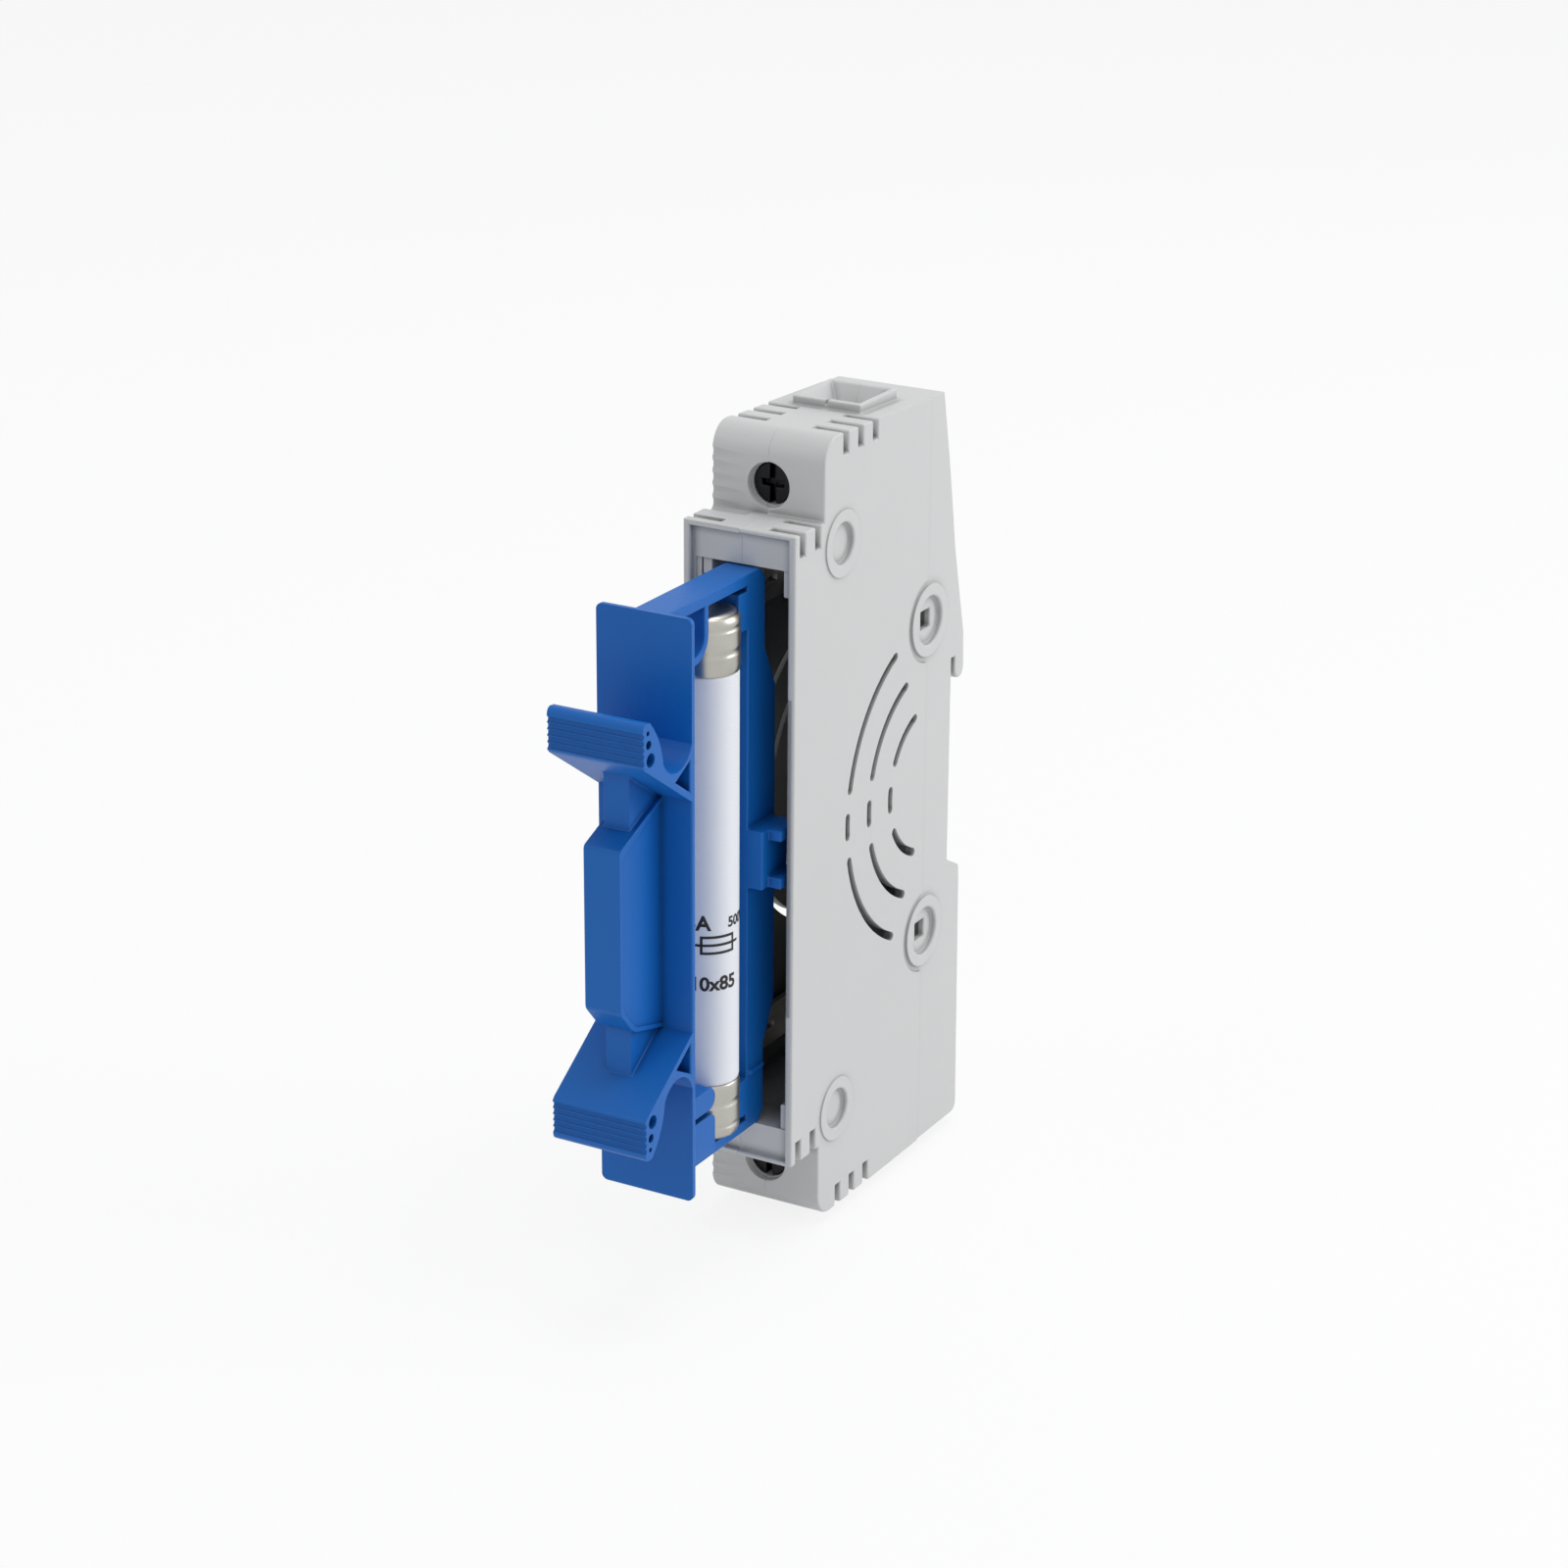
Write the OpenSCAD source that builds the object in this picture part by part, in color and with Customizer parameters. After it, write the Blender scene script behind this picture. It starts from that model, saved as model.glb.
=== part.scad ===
// One-pole pull-out fuse base for a 35 mm rail, with a 10 x 85 cartridge fuse in its carrier.
// The front is -Y, the rail face is y = 0 and the rail's centre line is z = 0.
// The carrier is drawn pulled out to its stop, and the clamps are drawn open: their places at rest.

/* [Fuse] */
// Diameter of the fuse's end caps
fuse_d = 10.3; // [9.8:0.1:10.8]
// Length of the fuse over its caps
fuse_l = 85; // [80:0.5:90]
// Length of an end cap
cap_l = 9.4; // [9:0.1:12]
// Thickness of the caps' sheet metal
cap_t = 0.38; // [0.3:0.02:0.5]
// Radius of the caps' end corners
cap_round = 1.2; // [0.8:0.1:1.8]
// How far the tube stands below the caps' outer surface
tube_step = 0.15; // [0.1:0.05:0.35]
// How far the fuse sits below the middle of its carrier
fuse_drop = 0.7; // [0:0.1:1]
// Wall of the fuse tube
tube_wall = 1.5; // [1:0.1:2]
// Width of the melting strip
element_w = 2.4; // [1.5:0.1:3.5]
// Thickness of the melting strip
element_t = 0.15; // [0.1:0.05:0.3]
// Distance between the notches in the melting strip
notch_pitch = 8; // [6:0.5:12]

/* [Carrier] */
// Width of the front plate
plate_w = 16.2; // [15.6:0.1:17]
// Thickness of the front plate
plate_t = 1; // [0.9:0.1:2]
// How far the front plate reaches past the arms at each end
plate_over = 0.65; // [0.4:0.05:1.2]
// Radius of the front plate's corners
plate_r = 1; // [0.5:0.1:2]
// Width of the frame that holds the fuse
frame_w = 6; // [5:0.2:7]
// Thickness of the arms above and below the fuse
arm_t = 1.8; // [1.4:0.1:2.4]
// Free space between the fuse's end and the arm
fuse_end_gap = 1.3; // [0.8:0.1:2]
// Distance from the plate's back to the fuse's axis
fuse_in = 16.7; // [15:0.1:17.5]
// Distance from the fuse's axis to the frame's back beam
beam_in = 7.2; // [6.6:0.1:8]
// Depth of the back beam beside the caps
beam_end = 5.2; // [4:0.1:6]
// Depth of the back beam in the middle
beam_mid = 8.4; // [6:0.1:9]
// Height up to which the back beam has its full depth
beam_mid_z = 26; // [22:0.5:28]
// Thickness of the fingers that hold the caps from the front
finger_t = 1.1; // [0.8:0.1:1.5]
// Half height of the lugs at the frame's middle
lug_z = 4.8; // [4.4:0.1:6]
// How far the lugs' tongues reach behind the lugs' front
lug_l = 14; // [13:0.5:16]
// Depth of the catch at the tongues' back ends
catch_l = 3; // [2:0.2:4]

/* [Handle] */
// Width of the finger wings
wing_w = 16.2; // [14:0.2:16.6]
// How far the wings stand in front of the plate
wing_reach = 13.45; // [12:0.05:16]
// Height at which a wing leaves the plate
wing_root_z = 18.4; // [16:0.2:22]
// Rise of a wing's sloping wall from its root to its tip
wing_rise = 9; // [7:0.2:11]
// Height of a wing's ribbed tip
tip_h = 6.8; // [6.2:0.1:8]
// Radius of the hollow behind a wing's tip
scoop_r = 4.2; // [3.8:0.1:4.6]
// Number of ribs' grooves across a wing's tip
groove_n = 5; // [3:1:7]
// Radius of the grooves across a wing's tip
groove_r = 0.45; // [0.3:0.05:0.5]
// Depth of those grooves
groove_in = 0.3; // [0.1:0.05:0.4]
// Width of the label block between the wings
label_w = 6.2; // [5.8:0.1:7]
// How far the label block stands in front of the plate
label_reach = 12; // [10:0.1:13]
// Depth of the hollows in the label block's sides
label_in = 0.35; // [0.2:0.05:0.4]
// Half height of the label block's flat face
label_z = 13.2; // [10:0.2:14]
// Width of the neck that joins the label block to the wings
neck_w = 4.4; // [3:0.2:5]
// How far the neck stands in front of the plate
neck_reach = 7.8; // [6:0.2:9]

/* [Housing] */
// Width over both half shells
body_w = 19.5; // [19.3:0.1:22]
// Thickness of the side walls
wall = 1.75; // [1.5:0.05:1.8]
// Distance of the bezel's front from the rail face
bezel_y = 52; // [50:0.5:58]
// Depth of the panel inside the bezel's raised border
panel_in = 1; // [0.6:0.1:1.5]
// Width of the bezel's raised border along its sides
border_w = 1.25; // [0.9:0.05:1.3]
// Height of the raised border at the bezel's ends
border_h = 0.75; // [0.5:0.05:1.5]
// Height of the bezel beyond the opening's ends
bezel_end = 5.85; // [5:0.05:7]
// Distance of the terminal faces from the rail face
term_y = 43.25; // [42:0.25:45]
// Height of a terminal screw's axis above the bezel's end
term_rise = 4.45; // [4.2:0.05:6]
// Height of the end faces above the terminal screws' axes
term_top = 8.3; // [8:0.1:10]
// Radius of the terminal blocks' front corners
nose_r = 4; // [2:0.5:5]
// Drop of the top face towards the back
top_drop = 1.3; // [0:0.1:1.6]
// Thickness of the wall behind the vents
back_wall = 2.2; // [1.6:0.1:3]
// Step of the side face towards the rail
side_step = 0.25; // [0.1:0.05:0.3]
// How far that step keeps clear of the rear bosses
step_round = 0.9; // [0.6:0.1:1.2]
// Distance of that step from the rail face
step_y = 9.2; // [8:0.1:11]

/* [Side details] */
// Radius of the front round bosses
boss_front_r = 5.3; // [4.5:0.1:5.5]
// Radius of the rear round bosses
boss_rear_r = 6; // [5:0.1:6.5]
// Width of the ring around each boss
boss_ring = 2; // [1.5:0.1:2.5]
// How far the rings stand out of the side
boss_out = 0.25; // [0.15:0.05:0.4]
// How deep the bosses are inside the ring
boss_in = 0.7; // [0.3:0.1:0.9]
// Side of the square ganging holes
gang_hole = 3; // [2:0.1:3.4]
// Radius of the innermost vent
vent_r = 12.2; // [11:0.1:13]
// Distance from one vent to the next
vent_pitch = 7; // [5:0.1:7.4]
// Number of vents
vent_n = 3; // [2:1:3]
// Width of the vents
vent_w = 1.4; // [0.8:0.1:2]
// Width of the comb slots
comb_w = 1.5; // [0.6:0.1:1.8]
// Distance from one comb slot to the next
comb_pitch = 4.65; // [4.2:0.05:5]
// How far the comb slots reach down the side
comb_drop = 3.3; // [2:0.1:3.6]
// Depth of the comb slots
comb_in = 1.3; // [0.6:0.1:1.4]

/* [Wire entries] */
// Width of the wire entries
entry_w = 7; // [6:0.1:7.6]
// Depth of the wire entries
entry_d = 6.6; // [5:0.1:6.8]
// Rim around the funnel of a wire entry
entry_rim = 1; // [0.6:0.1:1.4]
// How far the rim stands out of the end face
entry_out = 0.9; // [0.4:0.1:1.5]
// Width of the notch in the rim at the joint of the shells
entry_notch = 0.6; // [0.3:0.1:1]
// Widening of the funnel on each side
funnel = 1.7; // [1:0.1:2]

/* [Terminals] */
// Diameter of the screwdriver access holes
access_d = 7.2; // [6.8:0.1:7.4]
// Depth of the access holes down to the screw heads
access_l = 1.4; // [1:0.1:3.6]
// Diameter of the screw heads
head_d = 6.4; // [5.6:0.1:6.4]
// Thickness of the screw heads
head_t = 3.4; // [2:0.1:3.6]
// Diameter of the screw shanks
shank_d = 5; // [4:0.1:5.2]
// Thickness of the housing wall under the screw heads
neck_wall = 3; // [1.6:0.1:3.4]
// Width of the clamp cages
cage_w = 10.6; // [9.6:0.1:11]
// Height of the clamp cages
cage_h = 9.6; // [8.6:0.1:10]
// Thickness of the clamp cages' side walls
cage_side = 1; // [0.8:0.1:1.3]
// Thickness of the clamp cages' threaded and pressing walls
cage_t = 1.6; // [1.2:0.1:1.8]
// Travel of the clamp cages
cage_travel = 5; // [4:0.1:5.2]

/* [Contacts] */
// Thickness of the contact strips
strip_t = 1; // [0.8:0.1:1.2]
// Width of the contact strips
strip_w = 7; // [5:0.2:7.6]
// Gap behind the back beam when the carrier is pushed in
jaw_gap = 2; // [1.2:0.1:3]
// How far the jaws reach in front of the fuse's axis
jaw_reach = 7.2; // [6.4:0.1:8]
// Length of the flared lips of the jaws
lip_l = 2.5; // [1.5:0.1:3]
// How far the lips open out
lip_out = 0.55; // [0.3:0.05:0.7]
// Thickness of the jaw springs
clip_t = 0.4; // [0.3:0.05:0.5]
// Height of the jaw springs
clip_h = 5; // [3:0.2:6]

/* [Rail] */
// Width of the rail
rail_w = 35; // [35:0.5:36]
// Thickness of the rail's flanges
rail_t = 1; // [0.9:0.1:1.5]
// Thickness of the fixed lip behind the rail
lip_t = 3.2; // [2.6:0.1:4]
// How far the fixed lip reaches over the rail
lip_over = 3.8; // [2.5:0.1:4.5]
// Slope of the ledge under the rail
ledge_drop = 1.9; // [1:0.1:3]
// Depth of the housing behind the rail face at its lower end
heel_y = 5; // [4.6:0.1:6]
// Width of the sliding foot
foot_w = 9; // [7:0.2:10]
// Thickness of the sliding foot
foot_t = 2.9; // [2.4:0.1:3.1]
// How far the foot's tooth reaches over the rail
tooth_over = 2; // [1.5:0.1:2.5]
// Travel of the foot
foot_travel = 3.5; // [2.8:0.1:4]
// Length of the foot's spring as fitted
spring_l = 13; // [10:0.5:16]
// Distance from the rail's edge to the foot spring
spring_in = 14; // [12:0.5:18]
// How far the foot's pull stands below the housing
pull_out = 1.5; // [1:0.1:3]
// Radius of the foot spring's coil
coil_r = 1; // [0.8:0.05:1.05]
// Radius of the foot spring's wire
wire_r = 0.22; // [0.15:0.01:0.25]
// Turns of the foot spring
coil_n = 7; // [5:1:9]

/* [Clearances] */
// Travel of the carrier from its stop to fully pushed in
stroke = 27.2; // [25:0.1:27.5]
// Gap between the carrier and the housing that guides it
slide_gap = 0.2; // [0.15:0.05:0.3]
// Gap between a fuse cap and the jaws or saddles around it
cap_gap = 0.05; // [0.03:0.01:0.1]
// Gap between a clamp cage and its chamber
cage_gap = 0.25; // [0.15:0.05:0.3]
// Gap around a screw shank in its cage
thread_gap = 0.05; // [0.02:0.01:0.1]
// Gap around a screw head
head_gap = 0.15; // [0.1:0.05:0.2]
// Gap around parts that are seated in the housing
seat_gap = 0.1; // [0.05:0.01:0.2]

/* [Hidden] */
$fn = 48;

grey = [0.80, 0.81, 0.81];
blue = [0.07, 0.29, 0.64];
tin = [0.80, 0.79, 0.75];
zinc = [0.72, 0.73, 0.75];
eps = 0.01;

// Carrier, from the plate's back outwards and inwards
panel_y = -bezel_y + panel_in;
plate_back = panel_y - stroke;
plate_front = plate_back - plate_t;
fuse_y = plate_back + fuse_in;
beam_front = fuse_y + beam_in;
beam_back = beam_front + beam_end;
beam_deep = beam_front + beam_mid;
arm_in = fuse_l / 2 + fuse_end_gap;
arm_out = arm_in + arm_t;
plate_z = arm_out + plate_over;
cap_z = fuse_l / 2 - cap_l;
beam_slope_z = cap_z - 0.4;
cap_r = fuse_d / 2;
nest_r = cap_r + cap_gap;

// Housing, from the opening outwards
half_w = body_w / 2;
open_x = half_w - wall;
open_z = arm_out + slide_gap;
bezel_z = open_z + bezel_end;
term_z = bezel_z + term_rise;
end_z = term_z + term_top;
back_z = end_z - top_drop;

// Contacts and clamps
jaw_y = fuse_y + stroke;
jaw_back = jaw_y + beam_in + beam_end + jaw_gap + strip_t;
jaw_x = cap_r + cap_gap;
jaw_z0 = cap_z + 1.3;
jaw_z1 = fuse_l / 2 - 0.7 - fuse_drop;
bay_back = jaw_back + 2 * seat_gap + clip_t;
head_y = -term_y + access_l;
neck_y = head_y + head_t + head_gap;
chamber_front = neck_y + neck_wall;
cage_front = chamber_front + cage_travel + cage_gap;
bar_gap = 4.65;
bar_y = cage_front + cage_t + bar_gap;
cage_back = bar_y + strip_t + entry_d + seat_gap + cage_t;
entry_y = bar_y + strip_t + entry_d / 2;
chamber_back = cage_back + cage_gap;

// Rail side
rail_z = rail_w / 2;
pocket_y = rail_t + 0.3;
lip_y = pocket_y + lip_t;
seat_low = -rail_z + seat_gap;
foot_y = rail_t + seat_gap;
foot_x = foot_w / 2;

function arc(o, r, a0, a1, n) =
    [for (i = [0:n]) let (a = a0 + (a1 - a0) * i / n) o + r * [cos(a), sin(a)]];

// Points along a circular arc from a to b that bulges to the right by s
function bow(a, b, s, n) =
    let (c = norm(b - a), r = c * c / (8 * s) + s / 2, d = (b - a) / c,
         o = (a + b) / 2 - [d[1], -d[0]] * (r - s), half = asin(c / 2 / r),
         mid = atan2(-d[0], d[1]))
    [for (i = [0:n]) let (t = mid - half + 2 * half * i / n) o + r * [cos(t), sin(t)]];

// A drawing in the side view, with y across and z up, as thick as from x0 to x1
module across(x0, x1) {
    translate([x0, 0, 0]) rotate([90, 0, 90]) linear_extrude(height = x1 - x0) children();
}

module rod_x(y, z, r, x0, x1) {
    translate([x0, y, z]) rotate([0, 90, 0]) cylinder(h = x1 - x0, r = r);
}

module rod_y(z, r, y0, y1) {
    translate([0, y0, z]) rotate([-90, 0, 0]) cylinder(h = y1 - y0, r = r);
}

module block(x0, x1, y0, y1, z0, z1) {
    translate([x0, y0, z0]) cube([x1 - x0, y1 - y0, z1 - z0]);
}

module both_ends() {
    children();
    mirror([0, 0, 1]) children();
}

module both_sides() {
    children();
    mirror([1, 0, 0]) children();
}

// Side outline of the housing, clockwise from the bezel's lower corner
function housing_outline() = concat(
    [[-bezel_y, -bezel_z], [-bezel_y, bezel_z], [-term_y, bezel_z]],
    arc([-term_y + nose_r, end_z - nose_r], nose_r, 180, 90, 7),
    [[-4.1, back_z], [-1.5, back_z - 13], [0.8, back_z - 26.8], [2.5, back_z - 34.1],
     [lip_y - 0.2, rail_z + 3.6]],
    arc([lip_y - lip_t / 2, rail_z - lip_over + lip_t / 2], lip_t / 2, 0, -180, 8),
    [[pocket_y, rail_z + 0.2], [0, rail_z + 0.2], [0, seat_low], [0.45, seat_low],
     [heel_y - 0.9, seat_low - ledge_drop], [heel_y - 0.7, seat_low - ledge_drop - 3]],
    arc([heel_y - 1.5, -end_z + 1.7], 1.5, 0, -90, 4),
    arc([-term_y + nose_r, -end_z + nose_r], nose_r, -90, -180, 7),
    [[-term_y, -bezel_z]]);

// Outline of a contact strip from the jaw's base to the terminal, e thicker in front and behind
function strip_outline(e) =
    let (z0 = jaw_z1 - 1, z1 = open_z, z2 = term_z - cage_h / 2 - 1.2, z3 = term_z + cage_h / 2,
         ya = jaw_back, yb = bar_y + strip_t)
    [[ya + e, z0], [ya + e, z1], [yb + e, z2], [yb + e, z3], [yb - strip_t - e, z3],
     [yb - strip_t - e, z2 - 0.4], [ya - strip_t - e, z1 - 0.4], [ya - strip_t - e, z0]];

module vent_arc(r, a0, a1) {
    rotate([0, 0, a0]) rotate_extrude(angle = a1 - a0)
        translate([r - vent_w / 2, -eps]) square([vent_w, wall + 1]);
    for (a = [a0, a1])
        translate([r * cos(a), r * sin(a), -eps])
            cylinder(h = wall + 1, r = vent_w / 2 - 0.03, $fn = 24);
}

// The vents of the right side, cut through the wall
module vents() {
    vent_clear = 5.9;
    dash_z = 1.6;
    translate([open_x, -8.6, 0]) rotate([90, 0, 90])
        for (i = [0:vent_n - 1]) let (r = vent_r + i * vent_pitch) {
            vent_arc(r, 110 + 2.5 * i, 180 - asin(vent_clear / r));
            vent_arc(r, 180 + asin(vent_clear / r), 250 - 2.5 * i);
            vent_arc(r, 180 - asin(dash_z / r), 180 + asin(dash_z / r));
        }
}

// One comb slot on the right: a groove over the end face and down the side
module comb_slot(y, z, drop) {
    comb_x = 4;
    block(comb_x, half_w + 1, y - comb_w / 2, y + comb_w / 2, z - comb_in, z + 2);
    block(half_w - comb_in, half_w + 1, y - comb_w / 2, y + comb_w / 2, z - drop, z + 2);
}

module combs() {
    for (i = [0:2])
        comb_slot(-term_y + 6.65 + i * comb_pitch, end_z - 0.3, comb_drop);
    for (i = [0:1])
        comb_slot(-term_y - 1.75 - i * comb_pitch, bezel_z, comb_drop + 0.4);
}

// The space that the carrier moves in
module bay() {
    jaw_bay_z = jaw_z0 - 1.2;
    deep_z = 20.5;
    block(-open_x, open_x, -bezel_y - 1, bay_back, -open_z, open_z);
    block(-open_x, open_x, bay_back - 1, bay_back + 2.4, -jaw_bay_z, jaw_bay_z);
    block(-open_x, open_x, bay_back, -back_wall, -deep_z, deep_z);
}

// The recessed panel that the front plate closes on
module panel() {
    x = half_w - border_w;
    z = bezel_z - border_h;
    block(-x, x, -bezel_y - 1, panel_y, -z, z);
}

// The hollow of one terminal: the screw's bore, the clamp's chamber and the wire's funnel
module terminal_hollow() {
    cage_x = cage_w / 2 + cage_gap;
    cage_z = cage_h / 2 + cage_gap;
    x = entry_w / 2;
    y0 = entry_y - entry_d / 2;
    y1 = entry_y + entry_d / 2;
    funnel_l = funnel + entry_out;
    rod_y(term_z, access_d / 2, -term_y - 1, head_y - head_gap);
    rod_y(term_z, head_d / 2 + head_gap, head_y - head_gap - eps, neck_y);
    rod_y(term_z, shank_d / 2 + head_gap, neck_y - eps, chamber_front + 1);
    block(-cage_x, cage_x, chamber_front, chamber_back, term_z - cage_z, term_z + cage_z);
    block(-x, x, y0, y1, term_z, end_z + entry_out + 1);
    translate([0, entry_y, end_z + entry_out - funnel_l])
        funnel_cut(entry_w, entry_d, funnel, funnel_l);
    across(-strip_w / 2 - seat_gap, strip_w / 2 + seat_gap) polygon(strip_outline(seat_gap));
}

// A square funnel: w by d at its bottom, wider by f on each side at its top
module funnel_cut(w, d, f, h) {
    k = (h + eps) / h * f;
    intersection() {
        rotate([90, 0, 90]) translate([0, 0, -w]) linear_extrude(height = 2 * w)
            polygon([[-d / 2, 0], [d / 2, 0], [d / 2 + k, h + eps], [-d / 2 - k, h + eps]]);
        rotate([90, 0, 0]) translate([0, 0, -d]) linear_extrude(height = 2 * d)
            polygon([[-w / 2, 0], [w / 2, 0], [w / 2 + k, h + eps], [-w / 2 - k, h + eps]]);
    }
}

// The raised rim around a wire entry
module entry_rim_frame() {
    x = entry_w / 2 + funnel + entry_rim - 0.2;
    y = entry_d / 2 + funnel + entry_rim;
    block(-x, x, entry_y - y, entry_y + y, end_z - 2.2, end_z + entry_out);
}

// Notch in the front of that frame, half of it in each shell
module rim_notch() {
    y = entry_y - entry_d / 2 - funnel - entry_rim;
    block(-entry_notch / 2, entry_notch / 2, y - 1, y + entry_rim - 0.3, end_z + 0.2, end_z + entry_out + 1);
}

// Groove for the sliding foot, open to the back
module foot_channel() {
    x = foot_x + seat_gap;
    block(-x, x, foot_y - seat_gap, heel_y + 2, -end_z - 1, seat_low + 1);
    block(-x - 0.8, x + 0.8, foot_y - seat_gap, foot_y + 1.2 + seat_gap, -end_z - 1, seat_low - 4);
}

boss_front = [-37.5, bezel_z - 4.65];
boss_rear = [-8.5, 26.7];

module boss_rings() {
    for (s = [-1, 1]) {
        rod_x(boss_front[0], s * boss_front[1], boss_front_r, half_w - wall, half_w + boss_out);
        rod_x(boss_rear[0], s * boss_rear[1], boss_rear_r, half_w - wall, half_w + boss_out);
    }
}

module boss_cuts() {
    for (s = [-1, 1]) {
        rod_x(boss_front[0], s * boss_front[1], boss_front_r - boss_ring,
              half_w - boss_in, half_w + 2);
        rod_x(boss_rear[0], s * boss_rear[1], boss_rear_r - boss_ring,
              half_w - boss_in, half_w + 2);
        block(-eps, half_w + 2, boss_rear[0] - gang_hole / 2, boss_rear[0] + gang_hole / 2,
              s * boss_rear[1] - gang_hole / 2, s * boss_rear[1] + gang_hole / 2);
    }
}

// The side face lies lower towards the rail and around the rear bosses
module rail_side_step() {
    block(half_w - side_step, half_w + 1, -step_y, heel_y + 1, -end_z - 2, end_z + 2);
    for (s = [-1, 1])
        rod_x(boss_rear[0], s * boss_rear[1], boss_rear_r + step_round, half_w - side_step,
              half_w + 1);
}

peg_r = 1.4;
peg_l = 2.5;
peg_places = [[-47.4, bezel_z - 3], [-8, bezel_z - 7.5]];

// The catch that stops the pulled carrier, on the right side wall
module stop_rib() {
    y1 = beam_front + 1.8 + lug_l - catch_l - slide_gap;
    block(open_x - 1.1, open_x + eps, y1 - 4, y1, -lug_z + 2.4, lug_z - 2.4);
}

// Ribs that centre the jaws, at the ends of the opening
module jaw_ribs() {
    both_ends() block(open_x - 0.9, open_x + eps, -bezel_y + 1.2, jaw_back,
                      jaw_z1 + 0.5, open_z + eps);
}

// Half shell on the right side, without what tells the two halves apart
module half_shell() {
    difference() {
        union() {
            difference() {
                union() {
                    difference() {
                        across(0, half_w) polygon(housing_outline());
                        rail_side_step();
                    }
                    both_ends() entry_rim_frame();
                    boss_rings();
                }
                bay();
                panel();
                both_ends() terminal_hollow();
                foot_channel();
            }
            jaw_ribs();
            stop_rib();
            spring_post();
        }
        boss_cuts();
        vents();
        both_ends() combs();
        both_ends() rim_notch();
        block(-body_w, 0, -bezel_y - 1, heel_y + 1, -end_z - 3, end_z + 3);
    }
}

// Post in the foot's window that the spring pushes against
module spring_post() {
    block(0, window_x - 2 * seat_gap, foot_y - seat_gap - eps, foot_y + foot_t - 0.4,
          spring_z0 - post_h, spring_z0);
}

// Shallow grooves in the terminal's face that run out towards the screw
module grip_grooves() {
    grip_pitch = 2;
    grip_r = 1.2;
    grip_in = 0.28;
    grip_l = 6.2;
    for (i = [-2:2])
        translate([-half_w, -term_y - grip_r + grip_in, term_z + i * grip_pitch])
            rotate([0, 0, -atan(grip_in / grip_l)])
                rod_x(0, 0, grip_r, -1, grip_l + 1);
}

module housing_left() {
    end_rib_x = 5.4;
    color(grey) {
        difference() {
            mirror([1, 0, 0]) half_shell();
            both_ends() grip_grooves();
        }
        for (s = [-1, 1], p = peg_places)
            rod_x(p[0], s * p[1], peg_r, -eps, peg_l);
        both_ends() block(-open_x + 1, -end_rib_x, panel_y + 0.4, panel_y + 8,
                          open_z - 2.6, open_z + eps);
    }
}

module housing_right() {
    color(grey) difference() {
        half_shell();
        for (s = [-1, 1], p = peg_places)
            rod_x(p[0], s * p[1], peg_r + seat_gap / 2, -1, peg_l + seat_gap);
    }
}

// Jaw and strip of one pole: two sprung blades, their base and the bar to the terminal
module contact() {
    front = jaw_y - jaw_reach;
    finger_slot = 1;
    color(tin) {
        both_sides() difference() {
            union() {
                block(jaw_x, jaw_x + strip_t, front, jaw_back, jaw_z0, jaw_z1);
                translate([0, 0, jaw_z0]) linear_extrude(height = jaw_z1 - jaw_z0)
                    polygon([[jaw_x, front + eps], [jaw_x + strip_t, front + eps],
                             [jaw_x + strip_t + lip_out, front - lip_l],
                             [jaw_x + lip_out, front - lip_l]]);
            }
            block(jaw_x - 1, jaw_x + strip_t + 2, front - lip_l - 1, jaw_y + 3,
                  (jaw_z0 + jaw_z1 - finger_slot) / 2, (jaw_z0 + jaw_z1 + finger_slot) / 2);
        }
        block(-jaw_x - eps, jaw_x + eps, jaw_back - strip_t, jaw_back, jaw_z0, jaw_z1);
        across(-strip_w / 2, strip_w / 2) polygon(strip_outline(0));
    }
}

module upper_contact() { contact(); }

module lower_contact() { mirror([0, 0, 1]) contact(); }

// Flat steel spring that lies around a jaw and presses its blades together
module jaw_spring() {
    x = jaw_x + strip_t + seat_gap / 2;
    y = jaw_back + seat_gap;
    z = (jaw_z0 + jaw_z1 - clip_h) / 2;
    color(zinc) {
        block(-x, x, y, y + clip_t, z, z + clip_h);
        both_sides() block(x, x + clip_t, jaw_y - 3.5, y + clip_t, z, z + clip_h);
    }
}

module upper_jaw_spring() { jaw_spring(); }

module lower_jaw_spring() { mirror([0, 0, 1]) jaw_spring(); }

// Clamp cage: an open box around the bar and the wire, threaded for the screw
module cage() {
    color(zinc) difference() {
        block(-cage_w / 2, cage_w / 2, cage_front, cage_back,
              term_z - cage_h / 2, term_z + cage_h / 2);
        block(-cage_w / 2 + cage_side, cage_w / 2 - cage_side, cage_front + cage_t,
              cage_back - cage_t, term_z - cage_h, term_z + cage_h);
        rod_y(term_z, shank_d / 2 + thread_gap, cage_front - 1, cage_front + cage_t + 1);
        for (i = [-1, 0, 1])
            rod_x(cage_back - cage_t - 0.1, term_z + i * 2.4, 0.4, -cage_w / 2 + cage_side,
                  cage_w / 2 - cage_side);
    }
}

module upper_cage() { cage(); }

module lower_cage() { mirror([0, 0, 1]) cage(); }

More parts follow.
